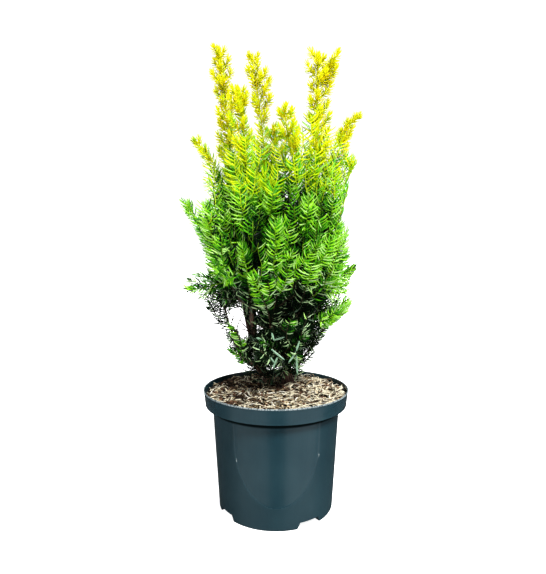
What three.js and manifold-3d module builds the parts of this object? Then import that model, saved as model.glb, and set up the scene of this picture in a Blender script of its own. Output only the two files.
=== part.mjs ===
// English yew in its nursery pot, in millimetres, +Z up, front towards -Y.
// The origin is the centre of the flat underside of the pot.
// Two stems rise from the potting mix. Boughs leave them, and every bough ends in
// a fork of one to three leafy shoots, each a solid of its own.

import * as THREE from "three";
import { mergeVertices } from "three/addons/utils/BufferGeometryUtils.js";
import Module from "manifold-3d";

const wasm = await Module();
wasm.setup();

// ---- Driving dimensions ----

const CLEARANCE = 0.3; // between pieces that touch on the real plant

const POT = {
  height: 155.5,
  lipRadius: 95, // outside, at the top
  bandFootRadius: 92.5, // outside, at the lower edge of the rim band
  bandHeight: 20.4,
  shoulderRadius: 83.1, // outside of the body, just under the band
  footRadius: 75,
  footChamfer: 1.6,
  wall: 1.8,
  lip: 1.4, // width and depth of the rounded lip
  facets: 32,
};
const NOTCH = {
  count: 4,
  firstTurn: 33.4, // degrees from the front towards +X
  width: 36,
  topWidth: 27,
  height: 8,
  depth: 17,
  roof: 1.8, // thickness of the plastic over the notch
  drainRadius: 4.5,
  drainFacets: 10,
  overrun: 2, // how far its cutting block reaches below the foot
};
const MIX = {
  edgeDrop: 6.5, // from the lip down to the mix at the wall
  mound: 5, // rise of the flat middle over the edge
  flatRadius: 46, // of the flat middle that the stems stand on
};
const groundLevel = POT.height - MIX.edgeDrop + MIX.mound + CLEARANCE;

// Stems: [x, y, height] along each, from the mix to the fork at the tip.
const STEMS = {
  trunk: {
    route: [[16, 22, groundLevel], [15, 20, 188], [11, 17, 225], [14, 13, 256], [27, 6, 292]],
    baseRadius: 6.2,
    tipRadius: 2.9,
  },
  left_stem: {
    route: [[-12, 22, groundLevel], [-21, 20, 182], [-29, 17, 210], [-30, 15, 242], [-39, 12, 280]],
    baseRadius: 4.6,
    tipRadius: 2.9,
  },
};
const FLARE = { height: 16, share: 0.55 }; // root flare: how far up, and how much wider at the foot
const STEM_SIDES = 8;
const STEM_RINGS = 11;
const MIDDLE = [5, 17]; // of the plant, seen from above

// Boughs: the stem that carries each, the height it leaves at, its tip, and its foot radius.
const BOUGHS = {
  bough_left_edge: { stem: "left_stem", leaves: 184, tip: [-58, 10, 224], radius: 2.9 },
  bough_left_skirt: { stem: "left_stem", leaves: 170, tip: [-33, -6, 190], radius: 2.7 },
  bough_left_low: { stem: "left_stem", leaves: 268, tip: [-60, -8, 292], radius: 2.8 },
  bough_left_front: { stem: "left_stem", leaves: 232, tip: [-32, -16, 266], radius: 3.0 },
  bough_left_back: { stem: "left_stem", leaves: 202, tip: [-42, 44, 244], radius: 3.0 },
  bough_middle: { stem: "trunk", leaves: 234, tip: [-6, 16, 282], radius: 3.1 },
  bough_front: { stem: "trunk", leaves: 202, tip: [-6, -20, 240], radius: 3.0 },
  bough_front_right: { stem: "trunk", leaves: 216, tip: [26, -18, 254], radius: 3.0 },
  bough_front_skirt: { stem: "trunk", leaves: 177, tip: [8, -14, 200], radius: 2.7 },
  bough_right: { stem: "trunk", leaves: 244, tip: [54, 10, 288], radius: 3.1 },
  bough_right_low: { stem: "trunk", leaves: 196, tip: [42, 2, 234], radius: 2.9 },
  bough_right_skirt: { stem: "trunk", leaves: 170, tip: [34, 16, 188], radius: 2.7 },
  bough_back: { stem: "trunk", leaves: 208, tip: [6, 50, 256], radius: 3.1 },
  bough_back_right: { stem: "trunk", leaves: 188, tip: [38, 46, 228], radius: 3.0 },
  bough_back_skirt: { stem: "trunk", leaves: 180, tip: [-4, 48, 206], radius: 2.7 },
};
const BOUGH_TIP_RADIUS = 2.7;
const BOUGH_SIDES = 6;
const BOUGH_RINGS = 6;
const BOUGH_SEAT = 1.02; // from the stem's middle to the bough's foot, against the stem's radius
// How far a curve keeps its first and its last direction, as shares of its span.
const BOUGH_BEND = { first: 0.3, last: 0.42 };
const SHOOT_BEND = { first: 0.28, last: 0.36 };

// Leafy shoots: what each grows from, where its tip is, and how far it leans there,
// in degrees from upright, away from the fork it starts at. A fork near the tip is a
// second one: how far along the shoot it starts, its bearing from +X, and its length.
const SHOOTS = {
  leader_left: { from: "left_stem", tip: [-73, 8, 590], lean: 9 },
  shoot_left_crook: { from: "left_stem", tip: [-106, 12, 476], lean: 52 },
  shoot_left_inner: { from: "left_stem", tip: [-66, 36, 440], lean: 12 },
  leader_left_front: { from: "bough_left_front", tip: [-47, -22, 530], lean: 12 },
  shoot_left_face: { from: "bough_left_front", tip: [-40, -58, 340], lean: 45 },
  leader_middle: { from: "bough_middle", tip: [-31, 12, 583], lean: 11 },
  shoot_middle_back: { from: "bough_middle", tip: [-3, 38, 500], lean: 5 },
  shoot_middle_face: { from: "bough_middle", tip: [-13, -26, 432], lean: 10 },
  leader_right: {
    from: "trunk", tip: [53, 2, 581], lean: 2, fork: { along: 0.87, bearing: 0, length: 36 },
  },
  shoot_middle: { from: "trunk", tip: [10, -14, 510], lean: 14 },
  shoot_right_face: { from: "trunk", tip: [36, -36, 386], lean: 24 },
  shoot_right_crook: { from: "bough_right", tip: [109, 26, 510], lean: 58 },
  shoot_right_edge: { from: "bough_right", tip: [99, -4, 452], lean: 22 },
  shoot_right_front: { from: "bough_right", tip: [88, -34, 412], lean: 20 },
  shoot_right_side: { from: "bough_right_low", tip: [92, -16, 362], lean: 30 },
  shoot_right_wing: { from: "bough_front_right", tip: [96, -44, 314], lean: 64 },
  shoot_front_right: { from: "bough_front_right", tip: [51, -66, 346], lean: 44 },
  shoot_front: { from: "bough_front", tip: [20, -74, 333], lean: 48 },
  shoot_front_left: { from: "bough_front", tip: [-28, -76, 304], lean: 52 },
  shoot_front_high: { from: "bough_front", tip: [4, -50, 368], lean: 14 },
  shoot_left_wing: { from: "bough_left_low", tip: [-112, -14, 286], lean: 70 },
  shoot_left_low_face: { from: "bough_left_low", tip: [-62, -62, 322], lean: 50 },
  shoot_left_rise: { from: "bough_left_low", tip: [-86, -30, 388], lean: 16 },
  shoot_left_edge: { from: "bough_left_edge", tip: [-120, 6, 398], lean: 42 },
  shoot_left_skirt: { from: "bough_left_skirt", tip: [-60, -26, 210], lean: 62 },
  shoot_front_skirt: { from: "bough_front_skirt", tip: [-16, -56, 226], lean: 60 },
  shoot_front_skirt_right: { from: "bough_front_skirt", tip: [36, -54, 232], lean: 58 },
  shoot_right_skirt: { from: "bough_right_skirt", tip: [94, 4, 266], lean: 48 },
  shoot_right_low: { from: "bough_right_low", tip: [84, -42, 262], lean: 60 },
  shoot_back_high: { from: "bough_back", tip: [14, 64, 470], lean: 10 },
  shoot_back: { from: "bough_back", tip: [-16, 98, 384], lean: 34 },
  shoot_back_low: { from: "bough_back", tip: [22, 100, 322], lean: 56 },
  shoot_back_left_high: { from: "bough_left_back", tip: [-46, 60, 462], lean: 8 },
  shoot_back_left: { from: "bough_left_back", tip: [-94, 50, 376], lean: 34 },
  shoot_back_left_low: { from: "bough_left_back", tip: [-58, 94, 314], lean: 54 },
  shoot_back_right_high: { from: "bough_back_right", tip: [54, 58, 446], lean: 8 },
  shoot_back_right: { from: "bough_back_right", tip: [92, 56, 366], lean: 32 },
  shoot_back_right_low: { from: "bough_back_right", tip: [66, 94, 300], lean: 58 },
  shoot_back_skirt: { from: "bough_back_skirt", tip: [-34, 92, 244], lean: 62 },
};
// A second tip: how far it stands aside and up, as shares of its length, where it bends and
// ends, and its needles and stem against the shoot's.
const FORK = { bend: [0.45, 0.2], tip: [0.5, 0.85], needle: 0.8, core: 0.7 };
const CORE_RADIUS = 1.15; // of a leafy shoot's green stem
const CORE_TAPER = 0.45; // share of its radius that is lost along it
const VALLEY = 0.85; // between two blades, against the radius under them
const NEEDLE = {
  length: 23,
  shortest: 7, // a shorter one is left out
  angle: 54, // degrees between needle and shoot
  tipAngle: 34, // the same, in the tuft at the shoot's tip
  angleSpread: 5, // degrees either way
  lengthSpread: 0.1, // share either way
  flatness: 0.78, // upper and lower needles against those at the sides
  atFoot: [0.55, 40], // share of the full length at the shoot's foot, and the run to regain it
  atTip: [0.5, 44], // the same at its tip
  bud: 0.3, // how far the bud stands beyond the tip, against a needle
};
const RING_STEP = 12; // along the shoot, between one whorl of teeth and the next
const RING_STEP_SHARES = [0.4, 0.6]; // of that step: the fixed part, and the part that follows the size
const FEWEST_RINGS = 3;
const ROLL = 0.3; // radians either way, of a spray about its stem
const TWIG = {
  first: 0.3, // where along the shoot the side twigs begin and end
  last: 0.92,
  every: 58, // millimetres of shoot for each side twig
  place: 0.5, // of each in its length of shoot
  slip: 0.3, // at most, further on
  length: 30,
  lengthShares: [1.15, 0.5], // of that length at the shoot's foot, and how much less at its tip
  lengthSpread: 0.15, // share either way
  angle: 46,
  bend: 0.4, // how far out it bends, against its length
  needle: 0.62, // its needles and its stem against those of the shoot
};
const GOLDEN_TURN = Math.PI * (3 - Math.sqrt(5));
const SPACE_MARGIN = 1.1; // how much nearer its own shoot than any other wood a needle stays
const FITTED_SHARES = [1, 0.82, 0.66, 0.5, 0.34]; // lengths that are tried for each needle
const TESTED_AT = [0.35, 0.7, 1]; // along a needle, where its space is looked at
const WOOD_EVERY = 8; // between the places that are kept along each piece of wood
const FIRST_SEED = 101;
const SEED_STEP = 17;

const FINISHES = {
  pot: { color: 0x2c4450, roughness: 0.4 },
  mix: { color: 0x8a6f52, roughness: 0.95 },
  bark: { color: 0x5a4334, roughness: 0.85 },
  foliage: { color: 0x5f9a2a, roughness: 0.6 },
};

// ---- Helpers ----

const UP = new THREE.Vector3(0, 0, 1);

function vector(xyz) {
  return new THREE.Vector3(...xyz);
}

function degrees(angle) {
  return THREE.MathUtils.degToRad(angle);
}

function seeded(seed) {
  let state = seed >>> 0;
  return () => {
    state = (Math.imul(state, 1664525) + 1013904223) >>> 0;
    return state / 4294967296;
  };
}

function solidOf(geometry) {
  const bare = geometry.clone();
  bare.deleteAttribute("normal");
  bare.deleteAttribute("uv");
  const merged = mergeVertices(bare, 1e-4);
  const triangles = [];
  const index = merged.index.array;
  for (let i = 0; i < index.length; i += 3) {
    const [a, b, c] = [index[i], index[i + 1], index[i + 2]];
    if (a !== b && b !== c && c !== a) triangles.push(a, b, c);
  }
  return new wasm.Manifold(new wasm.Mesh({
    numProp: 3,
    vertProperties: new Float32Array(merged.attributes.position.array),
    triVerts: new Uint32Array(triangles),
  }));
}

function geometryOf(solid) {
  const mesh = solid.getMesh();
  const geometry = new THREE.BufferGeometry();
  const points = new THREE.BufferAttribute(new Float32Array(mesh.vertProperties), 3);
  geometry.setAttribute("position", points);
  geometry.setIndex(Array.from(mesh.triVerts));
  geometry.computeVertexNormals();
  return geometry;
}

function joined(solids) {
  return solids.reduce((whole, solid) => whole.add(solid));
}

// A closed skin over rings of points, with a point at the middle of each end.
// Each ring has the same number of points, counter-clockwise seen from the last ring.
// spans(i, j) says which way the face between points j and j + 1 of rings i and i + 1 is cut.
function skin(rings, start, end, spans = () => true) {
  const count = rings[0].length;
  const points = [start, ...rings.flat(), end];
  const faces = [];
  const at = (i, j) => 1 + i * count + (j % count);
  for (let j = 0; j < count; j += 1) {
    faces.push(0, at(0, j + 1), at(0, j));
    faces.push(points.length - 1, at(rings.length - 1, j), at(rings.length - 1, j + 1));
  }
  for (let i = 0; i + 1 < rings.length; i += 1) {
    for (let j = 0; j < count; j += 1) {
      const [a, b, c, d] = [at(i, j), at(i, j + 1), at(i + 1, j + 1), at(i + 1, j)];
      if (spans(i, j)) faces.push(a, b, c, a, c, d);
      else faces.push(a, b, d, b, c, d);
    }
  }
  const geometry = new THREE.BufferGeometry();
  const places = points.flatMap((point) => point.toArray());
  geometry.setAttribute("position", new THREE.Float32BufferAttribute(places, 3));
  geometry.setIndex(faces);
  return geometry;
}

// Two directions square to the heading; the first runs round the plant's middle.
function crossAxes(heading, place) {
  const outward = new THREE.Vector3(place.x - MIDDLE[0], place.y - MIDDLE[1], 0);
  const across = new THREE.Vector3().crossVectors(UP, outward);
  across.addScaledVector(heading, -across.dot(heading)).normalize();
  return [across, new THREE.Vector3().crossVectors(heading, across)];
}

// The frames along a curve, carried on from the first without twist.
function framesAlong(curve, count) {
  const frames = [];
  let [across, over] = crossAxes(curve.getTangentAt(0), curve.getPointAt(1));
  for (let i = 0; i <= count; i += 1) {
    const heading = curve.getTangentAt(i / count);
    across = across.clone().addScaledVector(heading, -across.dot(heading)).normalize();
    over = new THREE.Vector3().crossVectors(heading, across);
    frames.push({ point: curve.getPointAt(i / count), heading, across, over });
  }
  return frames;
}

function mesh(name, geometry, finish) {
  const made = new THREE.Mesh(geometry, new THREE.MeshStandardMaterial({ ...finish, metalness: 0 }));
  made.name = name;
  return made;
}

// ---- Pot: one moulded shell with a rim band and four notches in its foot ----

function lathe(profile) {
  const points = profile.map(([r, z]) => new THREE.Vector2(r, z));
  return solidOf(new THREE.LatheGeometry(points, POT.facets).rotateX(Math.PI / 2));
}

// A trapezium standing on its long side, run out along the radius at one notch.
function notchBlock(turn, grow, height, fromRadius, toRadius) {
  const half = NOTCH.width / 2 + grow;
  const topHalf = NOTCH.topWidth / 2 + grow;
  const outline = new THREE.Shape([
    new THREE.Vector2(-half, -NOTCH.overrun),
    new THREE.Vector2(half, -NOTCH.overrun),
    new THREE.Vector2(topHalf, height),
    new THREE.Vector2(-topHalf, height),
  ]);
  const block = new THREE.ExtrudeGeometry(outline, { depth: toRadius - fromRadius, bevelEnabled: false });
  block.translate(0, 0, fromRadius);
  block.rotateX(Math.PI / 2);
  block.rotateZ(degrees(turn));
  return solidOf(block);
}

const notchTurns = Array.from(
  { length: NOTCH.count },
  (_, i) => NOTCH.firstTurn + (i * 360) / NOTCH.count,
);
const notchInner = POT.footRadius - NOTCH.depth;
const bandFoot = POT.height - POT.bandHeight;

function potShell() {
  const outside = [
    [0, 0],
    [POT.footRadius - POT.footChamfer, 0],
    [POT.footRadius, POT.footChamfer],
    [POT.shoulderRadius, bandFoot],
    [POT.bandFootRadius, bandFoot],
    [POT.lipRadius, POT.height - POT.lip / 2],
    [POT.lipRadius - POT.lip / 2, POT.height],
  ];
  const inside = [
    [POT.lipRadius - POT.wall, POT.height - POT.lip / 2],
    [POT.bandFootRadius - POT.wall, bandFoot + POT.wall],
    [POT.shoulderRadius - POT.wall, bandFoot + POT.wall],
    [POT.footRadius - POT.wall, POT.wall],
    [0, POT.wall],
  ];
  const whole = lathe([...outside, [0, POT.height]]);
  let shell = lathe([...outside, ...inside]);
  const roofTop = NOTCH.height + NOTCH.roof;
  for (const turn of notchTurns) {
    const roof = notchBlock(turn, NOTCH.roof, roofTop, notchInner - NOTCH.roof, POT.lipRadius);
    shell = shell.add(roof.intersect(whole));
  }
  for (const turn of notchTurns) {
    shell = shell.subtract(notchBlock(turn, 0, NOTCH.height, notchInner, POT.lipRadius));
    const drain = new THREE.CylinderGeometry(
      NOTCH.drainRadius, NOTCH.drainRadius, NOTCH.height, NOTCH.drainFacets,
    );
    drain.rotateX(Math.PI / 2);
    drain.translate(0, -(notchInner + NOTCH.depth / 2), NOTCH.height);
    drain.rotateZ(degrees(turn));
    shell = shell.subtract(solidOf(drain));
  }
  return shell;
}

// Potting mix: fills the shell, clear of it, and rises to a flat middle.
function pottingMix() {
  const edge = POT.height - MIX.edgeDrop;
  const slack = POT.wall + CLEARANCE;
  const up = (edge - bandFoot) / POT.bandHeight;
  const edgeRadius = THREE.MathUtils.lerp(POT.bandFootRadius, POT.lipRadius, up);
  let fill = lathe([
    [0, slack],
    [POT.footRadius - slack, slack],
    [POT.shoulderRadius - slack, bandFoot + slack],
    [POT.bandFootRadius - slack, bandFoot + slack],
    [edgeRadius - slack, edge],
    [MIX.flatRadius, edge + MIX.mound],
    [0, edge + MIX.mound],
  ]);
  for (const turn of notchTurns) {
    const grow = NOTCH.roof + CLEARANCE;
    fill = fill.subtract(notchBlock(turn, grow, NOTCH.height + grow, notchInner - grow, POT.lipRadius));
  }
  return fill;
}

// ---- Stems and boughs ----

function limbSolid(curve, radiusAt, sides, count) {
  const frames = framesAlong(curve, count);
  const rings = frames.map(({ point, across, over }, i) => {
    const ring = [];
    for (let j = 0; j < sides; j += 1) {
      const turn = (j / sides) * Math.PI * 2;
      const radius = radiusAt(i / count, turn);
      ring.push(point.clone()
        .addScaledVector(across, Math.cos(turn) * radius)
        .addScaledVector(over, Math.sin(turn) * radius));
    }
    return ring;
  });
  return solidOf(skin(rings, frames[0].point, frames[count].point));
}

// Every piece of wood that needles keep clear of: its name, points and radii along it.
const wood = [];

function rememberWood(name, curve, radiusAt) {
  const count = Math.ceil(curve.getLength() / WOOD_EVERY);
  const points = curve.getSpacedPoints(count);
  wood.push({ name, points, radii: points.map((_, i) => radiusAt(i / count, 0)) });
}

const limbs = {};

function makeStem(name) {
  const { route, baseRadius, tipRadius } = STEMS[name];
  const points = route.map(vector);
  // The foot is square to the ground, so that its cut is flat.
  points.splice(1, 0, points[0].clone().addScaledVector(UP, FLARE.height / 2));
  const curve = new THREE.CatmullRomCurve3(points);
  const length = curve.getLength();
  const radiusAt = (t) => {
    const flare = Math.max(0, 1 - (t * length) / FLARE.height) ** 2 * FLARE.share;
    return THREE.MathUtils.lerp(baseRadius, tipRadius, t) * (1 + flare);
  };
  const solid = limbSolid(curve, radiusAt, STEM_SIDES, STEM_RINGS);
  rememberWood(name, curve, radiusAt);
  limbs[name] = { curve, solid, tipRadius };
}

// The place on a stem's centreline at a height.
function onStem(stem, height) {
  let low = 0;
  let high = 1;
  for (let i = 0; i < 24; i += 1) {
    const middle = (low + high) / 2;
    if (stem.curve.getPointAt(middle).z < height) low = middle;
    else high = middle;
  }
  return low;
}

function makeBough(name) {
  const { stem: stemName, leaves, tip, radius } = BOUGHS[name];
  const stem = limbs[stemName];
  const { baseRadius, tipRadius } = STEMS[stemName];
  const t = onStem(stem, leaves);
  const centre = stem.curve.getPointAt(t);
  const heading = stem.curve.getTangentAt(t);
  const end = vector(tip);
  const out = end.clone().sub(centre);
  out.addScaledVector(heading, -out.dot(heading)).normalize();
  const stemRadius = THREE.MathUtils.lerp(baseRadius, tipRadius, t) * BOUGH_SEAT;
  const start = centre.clone().addScaledVector(out, stemRadius + CLEARANCE);
  const span = start.distanceTo(end);
  // It ends heading for the middle of its shoots' tips.
  const rise = new THREE.Vector3();
  for (const shoot of Object.values(SHOOTS).filter(({ from }) => from === name)) {
    rise.add(vector(shoot.tip).sub(end).normalize());
  }
  rise.normalize();
  const curve = new THREE.CubicBezierCurve3(
    start,
    start.clone().addScaledVector(out, span * BOUGH_BEND.first),
    end.clone().addScaledVector(rise, -span * BOUGH_BEND.last),
    end,
  );
  const radiusAt = (s) => THREE.MathUtils.lerp(radius, BOUGH_TIP_RADIUS, s);
  rememberWood(name, curve, radiusAt);
  const solid = limbSolid(curve, radiusAt, BOUGH_SIDES, BOUGH_RINGS);
  limbs[name] = { curve, solid, tipRadius: BOUGH_TIP_RADIUS };
}

// ---- Leafy shoots ----

// The centreline of each shoot: it starts straight out of the fork, on a seat of its own.
function shootCurve(name) {
  const { from, tip, lean } = SHOOTS[name];
  const carrier = limbs[from];
  const sharing = Object.keys(SHOOTS).filter((other) => SHOOTS[other].from === from);
  const heading = carrier.curve.getTangentAt(1);
  const fork = carrier.curve.getPointAt(1);
  const [across, over] = crossAxes(heading, fork);
  const turnTo = (other) => {
    const away = vector(SHOOTS[other].tip).sub(fork);
    return Math.atan2(away.dot(over), away.dot(across));
  };
  // Seats are even round the fork, in the order of the shoots' tips and turned to face them.
  const order = [...sharing].sort((a, b) => turnTo(a) - turnTo(b));
  const share = (Math.PI * 2) / order.length;
  const offsets = order.map((other, i) => turnTo(other) - i * share);
  const facing = Math.atan2(
    offsets.reduce((sum, turn) => sum + Math.sin(turn), 0),
    offsets.reduce((sum, turn) => sum + Math.cos(turn), 0),
  );
  const seatTurn = facing + order.indexOf(name) * share;
  const seatRadius = order.length > 1 ? carrier.tipRadius - CORE_RADIUS : 0;
  const start = fork.clone()
    .addScaledVector(heading, CLEARANCE)
    .addScaledVector(across, Math.cos(seatTurn) * seatRadius)
    .addScaledVector(over, Math.sin(seatTurn) * seatRadius);
  const end = vector(tip);
  const span = start.distanceTo(end);
  const away = new THREE.Vector3(end.x - fork.x, end.y - fork.y, 0).normalize();
  const finish = UP.clone()
    .multiplyScalar(Math.cos(degrees(lean)))
    .addScaledVector(away, Math.sin(degrees(lean)));
  return new THREE.CubicBezierCurve3(
    start,
    start.clone().addScaledVector(heading, span * SHOOT_BEND.first),
    end.clone().addScaledVector(finish, -span * SHOOT_BEND.last),
    end,
  );
}

const segment = new THREE.Line3();
const nearest = new THREE.Vector3();

function distanceTo(piece, point) {
  let least = Infinity;
  for (let i = 0; i + 1 < piece.points.length; i += 1) {
    segment.set(piece.points[i], piece.points[i + 1]);
    segment.closestPointToPoint(point, true, nearest);
    least = Math.min(least, nearest.distanceTo(point) - Math.max(piece.radii[i], piece.radii[i + 1]));
  }
  return least;
}

// True where a point is nearer to the named shoot than to any other wood.
function inOwnSpace(name, point) {
  const own = distanceTo(wood.find((piece) => piece.name === name), point);
  return wood.every((piece) => piece.name === name || distanceTo(piece, point) > own + SPACE_MARGIN);
}

// How much of a needle fits: the largest share whose whole length stays in the space.
function fittingShare(name, root, reach) {
  for (const share of FITTED_SHARES) {
    const places = TESTED_AT.map((s) => root.clone().addScaledVector(reach, s * share));
    if (!places.every((place) => inOwnSpace(name, place))) continue;
    return reach.length() * share >= NEEDLE.shortest ? share : 0;
  }
  return 0;
}

// Toothed blades round a stem: how many, and on which rings each has its teeth, so
// that the teeth of facing blades take turns. A side twig is flat, with two.
const ALL_ROUND = [0, 1, 1, 0];
const TWO_RANKED = [0, 1];

// A stem with toothed blades. Each ring has, for every blade, the point of its edge and
// the valley beside it. The edge is a tooth's tip on one ring and its root on the next.
function leafySpray(name, curve, size, coreRadius, blades, random) {
  const length = curve.getLength();
  const step = RING_STEP * (RING_STEP_SHARES[0] + RING_STEP_SHARES[1] * size);
  const count = Math.max(FEWEST_RINGS, Math.round(length / step));
  const frames = framesAlong(curve, count);
  const either = (spread) => (random() * 2 - 1) * spread;
  const roll = either(ROLL);
  const isTip = (i, blade) => (i + blades[blade]) % 2 === 1 && i > 0;
  const rings = frames.map(({ point, heading, across, over }, i) => {
    const ring = [];
    const along = i / count;
    const thick = coreRadius * (1 - CORE_TAPER * along);
    blades.forEach((_, blade) => {
      const turn = roll + (blade * Math.PI * 2) / blades.length;
      const out = across.clone().multiplyScalar(Math.cos(turn)).addScaledVector(over, Math.sin(turn));
      const edge = point.clone().addScaledVector(out, thick);
      if (isTip(i, blade)) {
        const open = THREE.MathUtils.lerp(NEEDLE.angle, NEEDLE.tipAngle, along ** 2);
        const angle = open + either(NEEDLE.angleSpread);
        const spread = Math.sin(degrees(angle)) * (blade % 2 === 0 ? 1 : NEEDLE.flatness);
        const fromFoot = NEEDLE.atFoot[0] + (length * along) / NEEDLE.atFoot[1];
        const fromTip = NEEDLE.atTip[0] + (length * (1 - along)) / NEEDLE.atTip[1];
        const taper = Math.min(1, fromFoot, fromTip);
        const reach = heading.clone().multiplyScalar(Math.cos(degrees(angle)))
          .addScaledVector(out, spread)
          .multiplyScalar(NEEDLE.length * size * taper * (1 + either(NEEDLE.lengthSpread)));
        edge.addScaledVector(reach, fittingShare(name, point, reach));
      }
      const between = turn + Math.PI / blades.length;
      ring.push(edge, point.clone()
        .addScaledVector(across, Math.cos(between) * thick * VALLEY)
        .addScaledVector(over, Math.sin(between) * thick * VALLEY));
    });
    return ring;
  });
  // The faces beside a tooth all run to its tip.
  const spans = (i, j) => {
    const blade = Math.floor(j / 2);
    return j % 2 === 0 ? !isTip(i, blade) : isTip(i, (blade + 1) % blades.length);
  };
  const last = frames[count];
  const bud = last.point.clone().addScaledVector(last.heading, NEEDLE.length * size * NEEDLE.bud);
  return solidOf(skin(rings, frames[0].point, bud, spans));
}

// Side twigs leave the shoot by the golden turn and shorten towards its tip.
function sideTwigs(name, curve, random) {
  const length = curve.getLength();
  const count = Math.round((length * (TWIG.last - TWIG.first)) / TWIG.every);
  const firstTurn = random() * Math.PI * 2;
  const twigs = [];
  for (let i = 0; i < count; i += 1) {
    const place = (i + TWIG.place + random() * TWIG.slip) / count;
    const along = THREE.MathUtils.lerp(TWIG.first, TWIG.last, place);
    const root = curve.getPointAt(along);
    const heading = curve.getTangentAt(along);
    const [across, over] = crossAxes(heading, root);
    const turn = firstTurn + i * GOLDEN_TURN;
    const out = across.multiplyScalar(Math.cos(turn)).addScaledVector(over, Math.sin(turn));
    const share = TWIG.lengthShares[0] - TWIG.lengthShares[1] * along;
    const reach = TWIG.length * share * (1 + (random() * 2 - 1) * TWIG.lengthSpread);
    const tip = root.clone()
      .addScaledVector(heading, Math.cos(degrees(TWIG.angle)) * reach)
      .addScaledVector(out, Math.sin(degrees(TWIG.angle)) * reach);
    if (!inOwnSpace(name, tip) || !inOwnSpace(name, root.clone().lerp(tip, 0.6))) continue;
    const bend = root.clone().addScaledVector(out, reach * TWIG.bend);
    twigs.push(new THREE.QuadraticBezierCurve3(root, bend, tip));
  }
  return twigs;
}

// The second tip of a shoot that forks.
function forkCurve(curve, { along, bearing, length }) {
  const root = curve.getPointAt(along);
  const aside = new THREE.Vector3(Math.cos(degrees(bearing)), Math.sin(degrees(bearing)), 0);
  const [bend, tip] = [FORK.bend, FORK.tip].map(([sideways, up]) => root.clone()
    .addScaledVector(aside, length * sideways)
    .addScaledVector(UP, length * up));
  return new THREE.QuadraticBezierCurve3(root, bend, tip);
}

function leafyShoot(name, seed) {
  const random = seeded(seed);
  const curve = shootCurves[name];
  const sprays = [leafySpray(name, curve, 1, CORE_RADIUS, ALL_ROUND, random)];
  const { fork } = SHOOTS[name];
  if (fork) {
    const second = forkCurve(curve, fork);
    sprays.push(leafySpray(name, second, FORK.needle, CORE_RADIUS * FORK.core, ALL_ROUND, random));
  }
  for (const twig of sideTwigs(name, curve, random)) {
    sprays.push(leafySpray(name, twig, TWIG.needle, CORE_RADIUS * TWIG.needle, TWO_RANKED, random));
  }
  return joined(sprays);
}

// ---- The whole plant ----

const plant = new THREE.Group();
plant.name = "english_yew";
plant.add(mesh("pot", geometryOf(potShell()), FINISHES.pot));
plant.add(mesh("potting_mix", geometryOf(pottingMix()), FINISHES.mix));
Object.keys(STEMS).forEach(makeStem);
Object.keys(BOUGHS).forEach(makeBough);
for (const [name, limb] of Object.entries(limbs)) {
  plant.add(mesh(name, geometryOf(limb.solid), FINISHES.bark));
}
const shootCurves = {};
for (const name of Object.keys(SHOOTS)) {
  shootCurves[name] = shootCurve(name);
  rememberWood(name, shootCurves[name], () => CORE_RADIUS);
}
Object.keys(SHOOTS).forEach((name, i) => {
  const solid = leafyShoot(name, FIRST_SEED + SEED_STEP * i);
  plant.add(mesh(name, geometryOf(solid), FINISHES.foliage));
});

export default plant;
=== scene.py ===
import math
from typing import NamedTuple

import bpy
import numpy as np
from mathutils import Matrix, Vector


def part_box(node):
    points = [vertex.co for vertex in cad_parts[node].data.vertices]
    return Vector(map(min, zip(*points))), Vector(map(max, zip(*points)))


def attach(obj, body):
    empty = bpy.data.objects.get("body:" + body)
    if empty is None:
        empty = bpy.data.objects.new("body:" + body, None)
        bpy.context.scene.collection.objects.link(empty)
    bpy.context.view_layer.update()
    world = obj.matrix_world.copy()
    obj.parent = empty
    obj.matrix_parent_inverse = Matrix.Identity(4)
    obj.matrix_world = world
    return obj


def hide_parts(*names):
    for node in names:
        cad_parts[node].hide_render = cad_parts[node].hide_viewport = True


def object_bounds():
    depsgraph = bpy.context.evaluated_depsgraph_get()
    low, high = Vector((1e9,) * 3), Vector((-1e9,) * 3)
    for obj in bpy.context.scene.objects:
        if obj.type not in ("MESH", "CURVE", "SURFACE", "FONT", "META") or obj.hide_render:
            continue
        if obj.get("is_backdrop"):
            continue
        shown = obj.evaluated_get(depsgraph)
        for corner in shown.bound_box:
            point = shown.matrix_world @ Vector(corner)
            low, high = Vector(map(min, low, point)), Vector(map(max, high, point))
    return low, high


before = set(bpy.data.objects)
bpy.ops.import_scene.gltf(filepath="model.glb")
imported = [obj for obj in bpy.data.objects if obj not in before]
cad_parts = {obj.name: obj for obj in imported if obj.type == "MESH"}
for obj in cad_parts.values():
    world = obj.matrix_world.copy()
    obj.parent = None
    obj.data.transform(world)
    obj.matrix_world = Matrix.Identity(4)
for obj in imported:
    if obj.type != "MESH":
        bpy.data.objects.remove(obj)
cad_low, cad_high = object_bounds()

MM = 0.001  # the sizes below are in millimetres where their names don't say otherwise


# ---- Where it is seen from ----
# The eye stands straight in front of the pot at about half the plant's height, tilted a
# little down, so that the mix shows inside the lip and the tips stand against the sky.

EYE = {"distance": 0.635, "height": 0.332, "tilt": 4.0, "pan": 0.34}  # metres and degrees
EYE_LENS = 30.6  # on a 36 mm long side

eye = bpy.data.objects.new("eye", bpy.data.cameras.new("eye"))
eye.location = (0, -EYE["distance"], EYE["height"])
eye.rotation_euler = (math.radians(90 - EYE["tilt"]), 0, math.radians(EYE["pan"]))
eye.data.lens = EYE_LENS
eye.data.sensor_width = 36
eye.data.clip_start = 0.01
bpy.context.collection.objects.link(eye)
bpy.context.scene.camera = eye


# ---- White floor and studio light ----
# A white table lit from all round. One large soft lamp stands high on the right in front,
# a weaker one on the left, and two tall pale screens show as soft bands in the gloss.

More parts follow.
